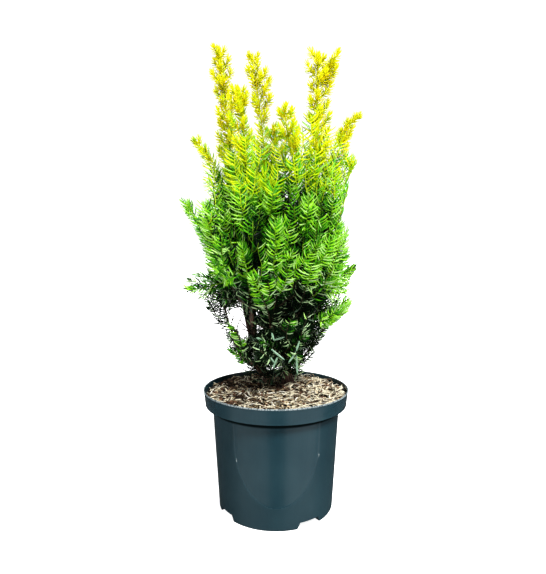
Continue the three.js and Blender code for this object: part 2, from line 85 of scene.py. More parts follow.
LAMPS = {  # bearing from the front towards +X and height in degrees, power, and softness in degrees
    "key_lamp": (34, 52, 4.7, 16),
    "fill_lamp": (-48, 30, 0.6, 40),
    "back_lamp": (160, 58, 1.6, 30),
}
ROOM_GLOW = 0.11  # of the white room on the plant
GLOSS_ROOM = 0.10  # how the room between the screens shows in the gloss
SCREENS = [{"starts": 18, "ends": 82, "glow": 0.62}, {"starts": -80, "ends": -13, "glow": 0.50}]
SCREEN_EDGE = 2.5  # degrees over which a screen's edge fades
TABLE_GLOW = 0.78  # the white table shines a little from below
TABLE_HALF = 30.0  # metres
WHITE = (1.0, 1.0, 1.0)

bpy.context.scene.view_settings.view_transform = "Standard"
bpy.context.scene.view_settings.look = "Medium High Contrast"


def feed(tree, entry, value):
    """Links a socket to an input, or sets the input to a value."""
    if isinstance(value, bpy.types.NodeSocket):
        tree.links.new(value, entry)
    else:
        entry.default_value = (*value, 1.0) if entry.type == "RGBA" else value


def place(tree, kind, feeds=(), **choices):
    """Adds a shader node, feeds its inputs and returns its outputs."""
    node = tree.nodes.new("ShaderNode" + kind)
    for name, value in choices.items():
        setattr(node, name, value)
    for name, value in dict(feeds).items():
        feed(tree, node.inputs[name], value)
    return node.outputs


def maths(tree, operation, *values):
    return place(tree, "Math", enumerate(values), operation=operation)[0]


def cleared_tree(owner):
    owner.use_nodes = True
    owner.node_tree.nodes.clear()
    return owner.node_tree


def by_ray(tree, plain, glossy, seen):
    """One shader for the eye's own rays, one for glossy rays and one for the rest."""
    rays = place(tree, "LightPath")
    unseen = place(tree, "MixShader", {0: rays["Is Glossy Ray"], 1: plain, 2: glossy})[0]
    return place(tree, "MixShader", {0: rays["Is Camera Ray"], 1: unseen, 2: seen})[0]


def hang_lamp(name, bearing, height, power, softness):
    sun = bpy.data.lights.new(name, "SUN")
    sun.energy = power
    sun.angle = math.radians(softness)
    holder = bpy.data.objects.new(name, sun)
    turn, rise = math.radians(bearing), math.radians(height)
    towards = Vector((math.sin(turn) * math.cos(rise), -math.cos(turn) * math.cos(rise), math.sin(rise)))
    holder.rotation_euler = towards.to_track_quat("Z", "Y").to_euler()
    bpy.context.collection.objects.link(holder)


def light_the_room():
    world = bpy.data.worlds.new("studio")
    tree = cleared_tree(world)
    parts = place(tree, "SeparateXYZ", {0: place(tree, "TexCoord")["Generated"]})
    bearing = maths(tree, "ARCTAN2", parts["X"], maths(tree, "MULTIPLY", parts["Y"], -1.0))
    glow = GLOSS_ROOM
    for screen in SCREENS:
        edges = [
            place(tree, "MapRange", {
                0: bearing,
                1: math.radians(screen[side] - SCREEN_EDGE),
                2: math.radians(screen[side] + SCREEN_EDGE),
            }, interpolation_type="SMOOTHSTEP")[0]
            for side in ("starts", "ends")
        ]
        shine = maths(tree, "MULTIPLY", maths(tree, "SUBTRACT", *edges), screen["glow"])
        glow = maths(tree, "ADD", glow, shine)
    lights = [
        place(tree, "Background", {"Color": WHITE, "Strength": strength})[0]
        for strength in (ROOM_GLOW, glow, 1.0)
    ]
    place(tree, "OutputWorld", {0: by_ray(tree, *lights)})
    bpy.context.scene.world = world


def white_table():
    """The floor: white and faintly shining to the eye, plain white to all other light."""
    material = bpy.data.materials.new("white_table")
    tree = cleared_tree(material)
    card = place(tree, "BsdfDiffuse", {"Color": (0.8, 0.8, 0.8)})[0]
    shine = place(tree, "Emission", {"Color": WHITE, "Strength": TABLE_GLOW})[0]
    shown = place(tree, "AddShader", {0: card, 1: shine})[0]
    place(tree, "OutputMaterial", {0: by_ray(tree, card, place(tree, "BsdfTransparent")[0], shown)})
    floor = bpy.data.meshes.new("floor")
    corners = [(x * TABLE_HALF, y * TABLE_HALF, 0) for x, y in ((-1, -1), (1, -1), (1, 1), (-1, 1))]
    floor.from_pydata(corners, [], [(0, 1, 2, 3)])
    floor.materials.append(material)
    holder = bpy.data.objects.new("floor", floor)
    bpy.context.collection.objects.link(holder)
    holder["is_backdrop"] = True


for lamp_name, facts in LAMPS.items():
    hang_lamp(lamp_name, *facts)
light_the_room()
white_table()


# ---- Pot ----
# One thin shell of dark blue-grey plastic, moulded upside down. It has a rim band with a
# rounded lip, a polished label panel let into the wall in front and behind, and four notches.

POT = {
    "foot_radius": 75.0,
    "foot_round": 1.6,
    "shoulder_radius": 83.1,
    "band_foot": 135.1,  # height of the lower edge of the rim band
    "band_foot_radius": 92.5,
    "band_round": 1.1,
    "bead": 1.5,  # thickness of the rounded lip
    "wall": 1.8,
}
pot_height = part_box("pot")[1].z / MM
lip_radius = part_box("pot")[1].x / MM
PANEL = {"middle": 0.8, "half_turn": 39.0, "foot": 29.4, "round_top": 101.4, "depth": 0.5, "edge": 0.9}
PIPS = [  # small marks of the mould: turn from the front, height, rise, half width, half length
    (-36.4, 83.0, 0.5, 0.5, 2.0),
    (40.4, 88.0, 0.5, 0.5, 2.0),
    (-1.7, 19.0, -0.35, 0.9, 0.9),
]
NOTCH = {
    "count": 4, "first": 33.4, "width": 36.0, "top_width": 27.0, "height": 8.0, "depth": 17.0, "roof": 1.8,
}
DRAIN_RADIUS = 4.5
POT_BLUE = (0.0120, 0.0370, 0.0485)
POT_BLUE_WORN = (0.0195, 0.0490, 0.0610)
# A painted highlight on the lip and the raised mould marks, in two tones.
POT_PAINTED_HIGHLIGHT = (0.10, 0.13, 0.14)
POT_PAINTED_HIGHLIGHT_PALE = (0.30, 0.35, 0.36)
POT_SHADOW = (0.004, 0.009, 0.010)  # painted shade in the corner under the rim band
PAINTED_SHADE_SPAN = (-7.4, -5.6, 0.6)  # from that corner: where the painted shade starts, where it is full and where it ends


def make_grain():
    """A shader group for grain, streaks and mottling: a mask from 0 to 1 that wanders over the piece."""
    group = bpy.data.node_groups.new("grain", "ShaderNodeTree")
    for name, start in (("Per metre", 100.0), ("Along", 1.0), ("Detail", 3.0), ("Hardness", 0.2)):
        group.interface.new_socket(name, in_out="INPUT", socket_type="NodeSocketFloat").default_value = start
    group.interface.new_socket("Mask", in_out="OUTPUT", socket_type="NodeSocketFloat")
    given = group.nodes.new("NodeGroupInput").outputs
    made = group.nodes.new("NodeGroupOutput")
    stretch = place(group, "CombineXYZ", {0: 1.0, 1: 1.0, 2: given["Along"]})[0]
    where = place(group, "TexCoord")["Object"]
    drawn = place(group, "VectorMath", {0: where, 1: stretch}, operation="MULTIPLY")[0]
    noise = place(group, "TexNoise", {
        "Vector": drawn, "Scale": given["Per metre"], "Detail": given["Detail"],
    })[0]
    low = maths(group, "MULTIPLY_ADD", given["Hardness"], 0.5, 0.25)
    mask = place(group, "MapRange", {0: noise, 1: low, 2: maths(group, "SUBTRACT", 1.0, low)})[0]
    feed(group, made.inputs["Mask"], mask)
    return group


grain = make_grain()


def grain_mask(tree, per_metre, along=1.0, detail=3.0, hardness=0.2):
    feeds = {"Per metre": per_metre, "Along": along, "Detail": detail, "Hardness": hardness}
    return place(tree, "Group", feeds, node_tree=grain)["Mask"]


def between(tree, mask, low, high):
    """A number that follows a mask from low to high."""
    return place(tree, "MapRange", {0: mask, 3: low, 4: high})[0]


def blend_of(tree, mask, colour, other):
    """A colour that follows a mask from one colour to another."""
    return place(tree, "Mix", {"Factor": mask, "A": colour, "B": other}, data_type="RGBA")["Result"]


def new_material(name):
    material = bpy.data.materials.new(name)
    material.use_nodes = True
    return material, material.node_tree


def dress(material, relief, distance, strength, looks):
    """Feeds a material's surface with its looks, and with a relief that deep in metres."""
    tree = material.node_tree
    surface = tree.nodes["Principled BSDF"]
    for name, value in looks.items():
        feed(tree, surface.inputs[name], value)
    bumps = place(tree, "Bump", {"Height": relief, "Distance": distance, "Strength": strength})
    feed(tree, surface.inputs["Normal"], bumps[0])
    return material


def put_together(name, points, groups, smooth=True):
    """A mesh object from points in millimetres and groups of faces with the same number of corners."""
    mesh = bpy.data.meshes.new(name)
    mesh.vertices.add(len(points))
    mesh.vertices.foreach_set("co", (np.asarray(points, float) * MM).ravel())
    corners = np.concatenate([np.asarray(group).ravel() for group in groups])
    sizes = np.concatenate([np.full(len(group), np.shape(group)[1]) for group in groups])
    mesh.loops.add(len(corners))
    mesh.loops.foreach_set("vertex_index", corners)
    mesh.polygons.add(len(sizes))
    mesh.polygons.foreach_set("loop_start", np.r_[0, np.cumsum(sizes)[:-1]])
    mesh.update(calc_edges=True)
    mesh.polygons.foreach_set("use_smooth", np.full(len(sizes), smooth))
    piece = bpy.data.objects.new(name, mesh)
    bpy.context.collection.objects.link(piece)
    return piece


def sides_of(count):
    """The faces round a prism whose lower corners come first."""
    j = np.arange(count)
    after = (j + 1) % count
    return np.stack([j, after, count + after, count + j], -1)


def tube_of(rings, start, end):
    """Points and faces of a closed skin over rings of points, from a first point to a last one."""
    rows, count = rings.shape[:2]
    points = np.vstack([rings.reshape(-1, 3), start, end])
    quads = (np.arange(rows - 1)[:, None, None] * count + sides_of(count)).reshape(-1, 4)
    j = np.arange(count)
    after = (j + 1) % count
    top = (rows - 1) * count
    fans = np.vstack([
        np.stack([np.full(count, rows * count), after, j], -1),
        np.stack([np.full(count, rows * count + 1), top + j, top + after], -1),
    ])
    return points, [quads, fans]


def turned(profile, turns, radius_change=None):
    """A closed turned shape. profile runs from the axis to the axis, outside first; turns are in degrees."""
    angles = np.radians(turns)
    inner = np.array(profile[1:-1])
    radii = np.repeat(inner[:, :1], len(turns), axis=1)
    heights = np.repeat(inner[:, 1:], len(turns), axis=1)
    if radius_change is not None:
        radii = radii + radius_change(radii, heights, np.asarray(turns)[None, :])
    rings = np.stack([radii * np.sin(angles), -radii * np.cos(angles), heights], -1)
    return tube_of(rings, (0, 0, profile[0][1]), (0, 0, profile[-1][1]))


def arc(centre, radius, start, end, steps=5):
    """Profile points on an arc; angles in degrees from the outward direction, upwards positive."""
    return [
        (centre[0] + radius * math.cos(a), centre[1] + radius * math.sin(a))
        for a in np.radians(np.linspace(start, end, steps))
    ]


def smooth_step(low, high, value):
    share = np.clip((value - low) / (high - low), 0, 1)
    return share * share * (3 - 2 * share)


def turn_from(turns, middle):
    return (turns - middle + 180) % 360 - 180


def panel_reach(turns, heights, middle):
    """0 at the middle of a label panel and 1 at its edge."""
    rise = (PANEL["round_top"] - heights) / (PANEL["round_top"] - PANEL["foot"])
    return np.hypot(turn_from(turns, middle) / PANEL["half_turn"], np.maximum(rise, 0))


panel_middles = (PANEL["middle"], PANEL["middle"] + 180)


def wall_relief(radii, heights, turns):
    """How far the outer wall lies outside its plain cone: the two label panels and the mould's marks."""
    change = np.zeros_like(radii)
    for middle in panel_middles:
        reach = panel_reach(turns, heights, middle)
        inside = (1 - reach) * math.radians(PANEL["half_turn"]) * POT["shoulder_radius"]
        change -= PANEL["depth"] * smooth_step(-PANEL["edge"], PANEL["edge"], inside)
    for turn, height, rise, half_width, half_length in PIPS:
        across = np.radians(turn_from(turns, turn)) * radii
        change += rise * np.exp(-(across / half_width) ** 2 - ((heights - height) / half_length) ** 2)
    change[:first_wall_row] = 0
    change[last_wall_row:] = 0
    return change


def plastic_kinds(mesh):
    """0 on a face of satin plastic, 1 on the two label panels and the rim band, 2 where a pale highlight is
    painted: the lip and the raised mould marks.
    """
    middles = np.empty(3 * len(mesh.polygons))
    mesh.polygons.foreach_get("center", middles)
    x, y, z = middles.reshape(-1, 3).T / MM
    radius, turns = np.hypot(x, y), np.degrees(np.arctan2(x, -y))
    outer = radius > cone_radius(z) - 1
    kinds = (radius > POT["band_foot_radius"] - 0.5).astype(int)
    for middle in panel_middles:
        kinds[(panel_reach(turns, z, middle) < 1) & outer & (z < POT["band_foot"] - 1)] = 1
    # The lip and the raised mould marks get the pale painted highlight.
    kinds[z > pot_height - 1.3] = 2
    for turn, height, rise, half_width, half_length in PIPS:
        across = np.radians(turn_from(turns, turn)) * radius
        kinds[(rise > 0) & outer & (np.abs(across) < half_width) & (np.abs(z - height) < half_length)] = 2
    return kinds


def lift(height, foot, top, foot_radius, top_radius):
    return foot_radius + (top_radius - foot_radius) * (height - foot) / (top - foot)


def cone_radius(height):
    return lift(height, POT["foot_round"], POT["band_foot"], POT["foot_radius"], POT["shoulder_radius"])


def band_radius(height):
    return lift(height, POT["band_foot"], pot_height, POT["band_foot_radius"], lip_radius)


wall_heights = np.r_[
    np.arange(POT["foot_round"] + 0.8, PANEL["foot"] - 2, 1.6),
    np.arange(PANEL["foot"] - 2, PANEL["round_top"], 0.95),
    np.arange(PANEL["round_top"], POT["band_foot"] - 2.4, 3.2),
    POT["band_foot"] - 1.6, POT["band_foot"] - 0.9,
]
foot_arc, band_arc = (
    arc((radius - rounding, foot + rounding), rounding, -90, 0)
    for radius, foot, rounding in (
        (POT["foot_radius"], 0, POT["foot_round"]),
        (POT["band_foot_radius"], POT["band_foot"], POT["band_round"]),
    ))
bead_radius = POT["bead"] / 2
bead_arc = arc((lip_radius - bead_radius, pot_height - bead_radius), bead_radius, 0, 180, 9)
fillet = arc((cone_radius(POT["band_foot"]) + 0.8, POT["band_foot"] - 0.8), 0.8, 180, 90, 4)
band_heights = np.linspace(POT["band_foot"] + POT["band_round"] + 1, pot_height - 2.2, 7)
inner_step = POT["band_foot"] + POT["wall"]
outside = [
    (0, 0), (20, 0), (45, 0), (60, 0), *foot_arc,
    *[(cone_radius(z), z) for z in wall_heights],
    *fillet,
    (POT["band_foot_radius"] - 4, POT["band_foot"]),
    *band_arc,
    *[(band_radius(z) - 0.25, z) for z in band_heights],
    (lip_radius - 0.35, pot_height - 1.7),
    *bead_arc,
]
inside = [
    (lip_radius - POT["wall"], pot_height - 2.4),
    (band_radius(inner_step) - POT["wall"], inner_step + 0.6),
    (band_radius(inner_step) - POT["wall"] - 0.6, inner_step),
    *[(cone_radius(z) - POT["wall"], z) for z in (inner_step, 90, 40, POT["wall"])],
    (40, POT["wall"]),
    (0, POT["wall"]),
]
first_wall_row = 3 + len(foot_arc)
last_wall_row = first_wall_row + len(wall_heights)
panel_span = PANEL["half_turn"] + 5
fine_turns = np.arange(-panel_span, panel_span, 0.65)
side_turns = np.arange(panel_span, 180 - panel_span, 2.0)
pot_turns = np.r_[fine_turns, side_turns, 180 + fine_turns, 180 + side_turns]


def notch_block(turn, grow, height, inner_radius, outer_radius, foot):
    """A trapezium on its long side, run out along the radius, its outer end rounded like the pot."""
    levels = []
    for level, width in ((foot, NOTCH["width"]), (height, NOTCH["top_width"])):
        half = width / 2 + grow
        outer = [(x * half, math.sqrt(outer_radius**2 - (x * half) ** 2)) for x in np.linspace(-1, 1, 9)]
        levels += [(x, -y, level) for x, y in outer + [(half, inner_radius), (-half, inner_radius)]]
    angle = math.radians(turn)
    spin = np.array([
        [math.cos(angle), -math.sin(angle), 0],
        [math.sin(angle), math.cos(angle), 0],
        [0, 0, 1],
    ])
    count = len(levels) // 2
    ends = np.arange(2 * count).reshape(2, 1, count)
    return np.array(levels) @ spin.T, [sides_of(count), ends[0][:, ::-1], ends[1]]


def cut(piece, operation, name, points, groups):
    """Joins or cuts with another closed piece, which is used up."""
    tool = put_together(name, points, groups)
    step = piece.modifiers.new(operation, "BOOLEAN")
    step.operation = operation
    step.solver = "MANIFOLD"
    step.object = tool
    bpy.context.view_layer.objects.active = piece
    bpy.ops.object.modifier_apply(modifier=step.name)
    bpy.data.objects.remove(tool)


def drain_rod(turn, radius_from_axis):
    angle = math.radians(turn)
    points, faces = turned([(0, 4), (DRAIN_RADIUS, 4), (DRAIN_RADIUS, 14), (0, 14)], np.arange(0, 360, 15))
    return points + (math.sin(angle) * radius_from_axis, -math.cos(angle) * radius_from_axis, 0), faces


def pot_plastic(name, dull, gloss):
    """The pot's plastic: satin where the mould was, glossy on the label panels and the rim band."""
    material, tree = new_material(name)
    streaks = grain_mask(tree, 420, along=0.012, detail=2)
    clouds = grain_mask(tree, 22, detail=2)
    specks = grain_mask(tree, 2600, detail=1, hardness=0.6)
    shade = maths(tree, "MULTIPLY_ADD", streaks, 0.12, between(tree, clouds, 0.0, 0.6))
    height = place(tree, "SeparateXYZ", {0: place(tree, "TexCoord")["Object"]})[2]
    # Painted shade under the rim band: the plastic darkens to POT_SHADOW and loses its gloss there.
    starts, full, ends = (POT["band_foot"] * MM + edge * MM for edge in PAINTED_SHADE_SPAN)
    fade = place(tree, "MapRange", {0: height, 1: starts, 2: full, 3: 0.0, 4: 1.0})[0]
    painted_shade = maths(tree, "MULTIPLY", fade, maths(tree, "LESS_THAN", height, ends))
    return dress(material, maths(tree, "MULTIPLY_ADD", streaks, 0.25, specks), 0.00003, 0.5, {
        "Base Color": blend_of(tree, painted_shade, blend_of(tree, shade, POT_BLUE, POT_BLUE_WORN), POT_SHADOW),
        "Specular IOR Level": between(tree, painted_shade, gloss, 0.0),
        "Roughness": between(tree, streaks, dull, dull + 0.04),
        "IOR": 1.49,
    })


def painted_highlight_plastic():
    """A pale painted highlight on the rounded lip and on the raised marks of the mould."""
    material, tree = new_material("painted_highlight_plastic")
    highlight_mottle = grain_mask(tree, 700, along=0.5, detail=3, hardness=0.4)
    return dress(material, highlight_mottle, 0.00004, 0.5, {
        "Base Color": blend_of(tree, highlight_mottle, POT_PAINTED_HIGHLIGHT, POT_PAINTED_HIGHLIGHT_PALE),
        "Roughness": between(tree, highlight_mottle, 0.24, 0.4),
    })


def make_pot():
    pot = put_together("pot_shell", *turned(outside + inside, pot_turns, wall_relief))
    inner = POT["foot_radius"] - NOTCH["depth"]
    roof = NOTCH["roof"]
    turns = [NOTCH["first"] + 360 * i / NOTCH["count"] for i in range(NOTCH["count"])]
    for turn in turns:
        cut(pot, "UNION", "roof", *notch_block(
            turn, roof, NOTCH["height"] + roof, inner - roof, POT["foot_radius"] - POT["wall"] / 2, 0.9))
    for turn in turns:
        cut(pot, "DIFFERENCE", "opening", *notch_block(turn, 0, NOTCH["height"], inner, lip_radius, -2))
        cut(pot, "DIFFERENCE", "drain_rod", *drain_rod(turn, inner + NOTCH["depth"] / 2))
    pot.data.materials.clear()
    pot.data.materials.append(pot_plastic("satin_plastic", 0.34, 0.35))
    pot.data.materials.append(pot_plastic("glossy_plastic", 0.11, 0.55))
    pot.data.materials.append(painted_highlight_plastic())
    pot.data.polygons.foreach_set("material_index", plastic_kinds(pot.data))
    pot.data.set_sharp_from_angle(angle=math.radians(32))
    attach(pot, "root")
    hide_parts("pot")


make_pot()


# ---- Potting mix ----
# Three litres of shredded bark, wood fibre and dark crumbs fill the pot to a finger's breadth
# below the lip. It lies loose: straw-coloured fibres and bark chips point in all directions.

MIX = {"edge_drop": 6.5, "mound": 5.0, "flat_radius": 46.0, "bed_drop": 2.2, "foot": 16.0, "slack": 0.4}
STEM_FEET = [(16.0, 22.0), (-12.0, 22.0)]
STEM_FOOT_ROOM = 6.5  # radius round each stem with nothing loose in it
PAINTED_LIT_SIDE = (0.75, -0.66)  # painted light: the mix is paler towards the front on the right, where the key lamp falls on it
# What lies in the mix: how many, how much it keeps to the pale side, length, width, thickness,
# tilt, and a colour and its second tone.
FIBRES = {
    "straw": (700, 0.6, (8, 25), (1.1, 2.6), 0.6, 0.30, (0.82, 0.75, 0.57), (0.96, 0.93, 0.83)),
    "white_straw": (190, 0.6, (8, 22), (1.2, 2.8), 0.6, 0.32, (0.90, 0.86, 0.74), (0.96, 0.94, 0.86)),
    "tan": (330, 0, (7, 21), (1.1, 2.5), 0.6, 0.30, (0.42, 0.33, 0.20), (0.62, 0.51, 0.34)),
    "brown": (480, 0, (6, 18), (1.2, 2.6), 0.7, 0.25, (0.12, 0.077, 0.045), (0.24, 0.165, 0.10)),
}
CHIPS = {
    "pale_chips": (150, 0.8, (3.5, 8), (2.2, 4.5), 1.0, 0.35, (0.62, 0.49, 0.31), (0.82, 0.72, 0.54)),
    "red_chips": (230, 0, (4, 10), (2.6, 5.5), 1.3, 0.35, (0.14, 0.072, 0.042), (0.25, 0.145, 0.09)),
    "dark_chips": (520, -0.6, (3, 9), (2.4, 5.0), 1.3, 0.35, (0.050, 0.030, 0.018), (0.10, 0.062, 0.038)),
}
CRUMBS = {
    "crumbs_dark": (2200, -0.5, (1.0, 3.4), (0.022, 0.014, 0.009), (0.060, 0.038, 0.024)),
    "crumbs_pale": (260, 0.7, (0.8, 2.0), (0.42, 0.32, 0.19), (0.66, 0.55, 0.36)),
}
FIBRE_STATIONS = np.array([-0.5, -0.2, 0.15, 0.5])
FIBRE_FULLNESS = np.array([0.35, 1.0, 0.9, 0.3])
MIX_SEED = 41
BARE_EARTH = (0.028, 0.018, 0.012)
EARTH_LIGHT = (0.085, 0.054, 0.033)


def inner_radius(height):
    """Inside radius of the pot at a height over its inner step."""
    return band_radius(height) - POT["wall"] - MIX["slack"]


mix_edge = pot_height - MIX["edge_drop"]
mix_radius = inner_radius(mix_edge)
mix_random = np.random.default_rng(MIX_SEED)
# The heaps: height, width, bearing and shift.
heaps = list(zip(*(
    mix_random.uniform(low, high, 14)
    for low, high in ((0.15, 0.55), (9, 34), (0, 2 * math.pi), (0, 2 * math.pi)))))


def mix_level(x, y):
    """Height of the top of the mix: a low mound with small heaps and hollows."""
    share = np.clip((mix_radius - np.hypot(x, y)) / (mix_radius - MIX["flat_radius"]), 0, 1)
    level = mix_edge + MIX["mound"] * share
    for height, width, turn, shift in heaps:
        wave = 2 * math.pi / width
        level = level + height * np.sin(wave * (x * math.cos(turn) + y * math.sin(turn)) + shift)
    return level


def loose_stuff(name, colour, other, roughness, per_metre):
    """Matt material for what lies in the mix, in two tones that run into each other."""
    material, tree = new_material(name)
    tones = grain_mask(tree, per_metre, detail=3, hardness=0.5)
    fine = grain_mask(tree, per_metre * 4, along=0.5, detail=2)
    return dress(material, fine, 0.0003, 0.7, {
        "Base Color": blend_of(tree, tones, colour, other),
        "Roughness": between(tree, fine, roughness - 0.12, roughness),
        "Specular IOR Level": 0.3,
    })


def finish_mix(piece, material):
    piece.data.materials.append(material)
    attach(piece, "root")
    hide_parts("potting_mix")


def make_bed():
    below = inner_step + 1
    top = mix_edge - MIX["bed_drop"]
    profile = [
        (0, MIX["foot"]),
        *[(cone_radius(z) - POT["wall"] - MIX["slack"], z) for z in (MIX["foot"], below)],
        (inner_radius(below) - 0.8, below),
        (mix_radius, top - 0.4),
        *[(radius, top) for radius in np.arange(mix_radius - 1.5, 2, -2.6)],
        (0, top),
    ]
    points, faces = turned(profile, np.arange(0, 360, 2.5))
    upper = points[:, 2] > top - 0.1
    points[upper, 2] = mix_level(points[upper, 0], points[upper, 1]) - MIX["bed_drop"]
    bed = put_together("mix_bed", points, faces)
    finish_mix(bed, loose_stuff("damp_mix", BARE_EARTH, EARTH_LIGHT, 1.0, 420))


def scattered(count, margin, paleness):
    """Places in the mix. With paleness, more of them lie on the paler side, or with less, fewer."""
    places = np.empty((0, 2))
    while len(places) < count:
        radius = (mix_radius - margin) * np.sqrt(mix_random.random(count))
        turn = mix_random.uniform(0, 2 * math.pi, count)
        new = np.stack([radius * np.cos(turn), radius * np.sin(turn)], -1)
        side = new @ np.array(PAINTED_LIT_SIDE) / mix_radius
        keep = mix_random.random(count) < 0.5 + 0.5 * np.clip(paleness * (side + 0.15) * 1.6, -1, 1)
        for foot in STEM_FEET:
            keep &= np.hypot(*(new - foot).T) > STEM_FOOT_ROOM
        places = np.vstack([places, new[keep]])
    return places[:count]


def lying(count, tilt):
    """Axes of loose pieces that lie nearly flat: along, across and up."""
    turn = mix_random.uniform(0, 2 * math.pi, count)
    up = np.stack([*(mix_random.normal(0, tilt, (2, count))), np.ones(count)], -1)
    up /= np.linalg.norm(up, axis=1, keepdims=True)
    along = np.stack([np.cos(turn), np.sin(turn), np.zeros(count)], -1)
    along -= up * np.sum(along * up, 1, keepdims=True)
    along /= np.linalg.norm(along, axis=1, keepdims=True)
    return along, np.cross(up, along), up


def resting(places, low, high):
    """The places, lifted to the top of the mix or a little under or over it."""
    return np.column_stack([places, mix_level(*places.T) + mix_random.uniform(low, high, len(places))])


def copies_of(faces, count, corners):
    """The faces of one pattern, repeated for each of count copies with that many points."""
    faces = np.asarray(faces)
    return (faces[None] + corners * np.arange(count)[:, None, None]).reshape(-1, faces.shape[1])


def strew(name, points, patterns, material, smooth=False):
    """Joins many loose pieces of one kind, all drawn in to the inside of the pot's wall."""
    radius = np.hypot(points[..., 0], points[..., 1])
    scale = np.minimum(1, (mix_radius - 0.3) / np.maximum(radius, 1))
    points = points * np.stack([scale, scale, np.ones_like(scale)], -1)
    count, corners = len(points), points[0].size // 3
    faces = [copies_of(pattern, count, corners) for pattern in patterns]
    piece = put_together("mix_" + name, points.reshape(-1, 3), faces, smooth)
    finish_mix(piece, material)


def make_fibres(name, count, paleness, lengths, widths, thickness, tilt, colour, other):
    places = scattered(count, 3, paleness)
    along, across, up = lying(count, tilt)
    length = mix_random.uniform(*lengths, count) * mix_random.uniform(0.6, 1, count)
    width = mix_random.uniform(*widths, count) / 2
    curve = mix_random.normal(0, 0.16, (2, count)) * length
    bow = (0.25 - FIBRE_STATIONS**2) * 4
    line = (
        resting(places, -1.4, 1.0)[:, None] + along[:, None] * (length[:, None] * FIBRE_STATIONS)[..., None]
        + across[:, None] * (curve[0][:, None] * bow)[..., None]
        + up[:, None] * (np.abs(curve[1])[:, None] * 0.5 * bow)[..., None]
    )
    section = np.array([[-1, 0], [0, -1], [1, 0], [0, 1]])
    wide = (width[:, None] * FIBRE_FULLNESS)[:, :, None, None] * section[:, :1]
    thick = (thickness / 2 * FIBRE_FULLNESS)[None, :, None, None] * section[:, 1:]
    points = line[:, :, None] + across[:, None, None] * wide + up[:, None, None] * thick
    faces = np.vstack([sides_of(4), sides_of(4) + 4, sides_of(4) + 8, [(3, 2, 1, 0), (12, 13, 14, 15)]])
    material = loose_stuff("fibre_" + name, colour, other, 0.9, 700)
    strew("fibres_" + name, points, [faces], material, smooth=True)


def make_chips(name, count, paleness, lengths, widths, thickness, tilt, colour, other):
    corners = 6
    places = scattered(count, 5, paleness)
    along, across, up = lying(count, tilt)
    turn = (np.arange(corners) + mix_random.uniform(-0.3, 0.3, (count, corners))) * 2 * math.pi / corners
    swell = mix_random.uniform(0.65, 1.15, (count, corners))
    long = (mix_random.uniform(*lengths, count)[:, None] / 2 * swell * np.cos(turn))[..., None]
    wide = (mix_random.uniform(*widths, count)[:, None] / 2 * swell * np.sin(turn))[..., None]
    thick = mix_random.uniform(0.5, 1, (count, corners, 1)) * thickness
    centre = resting(places, -1.6, 0.3)[:, None]
    rim = centre + along[:, None] * long + across[:, None] * wide
    upper = centre + (rim - centre) * 0.8 + up[:, None] * thick
    points = np.concatenate([rim - up[:, None] * thick * 0.5, upper], 1)
    ends = np.arange(corners)
    strew(name, points, [sides_of(corners), [ends[::-1], corners + ends]],
          loose_stuff("bark_" + name, colour, other, 0.95, 500))


def make_crumbs(name, count, paleness, sizes, colour, other):
    golden = (1 + math.sqrt(5)) / 2
    ball = np.array([(0, a, b * golden) for a in (-1, 1) for b in (-1, 1)])
    ball = np.vstack([ball, np.roll(ball, 1, 1), np.roll(ball, 2, 1)]) / math.hypot(1, golden)
    near = np.linalg.norm(ball[:, None] - ball, axis=-1) < 1.1
    faces = [
        (a, b, c) if np.dot(np.cross(ball[b] - ball[a], ball[c] - ball[a]), ball[a]) > 0 else (a, c, b)
        for a in range(12) for b in range(a + 1, 12) for c in range(b + 1, 12)
        if near[a, b] and near[b, c] and near[a, c]
    ]
    places = scattered(count, 3, paleness)
    size = mix_random.uniform(*sizes, (count, 1, 1)) / 2
    shape = ball[None] * mix_random.uniform(0.6, 1.1, (count, 12, 1)) * (1.0, 0.8, 0.6)
    points = resting(places, -1.4, 0.4)[:, None] + shape * size
    strew(name, points, [faces], loose_stuff("peat_" + name, colour, other, 1.0, 900))


make_bed()
for make, kinds in ((make_fibres, FIBRES), (make_chips, CHIPS), (make_crumbs, CRUMBS)):
    for kind, facts in kinds.items():
        make(kind, *facts)


# ---- Stems and boughs ----
# Two short stems of young yew wood stand in the mix and carry fifteen boughs. Their bark is
# thin and purplish brown, and flakes off in long plates with rusty new bark between them.

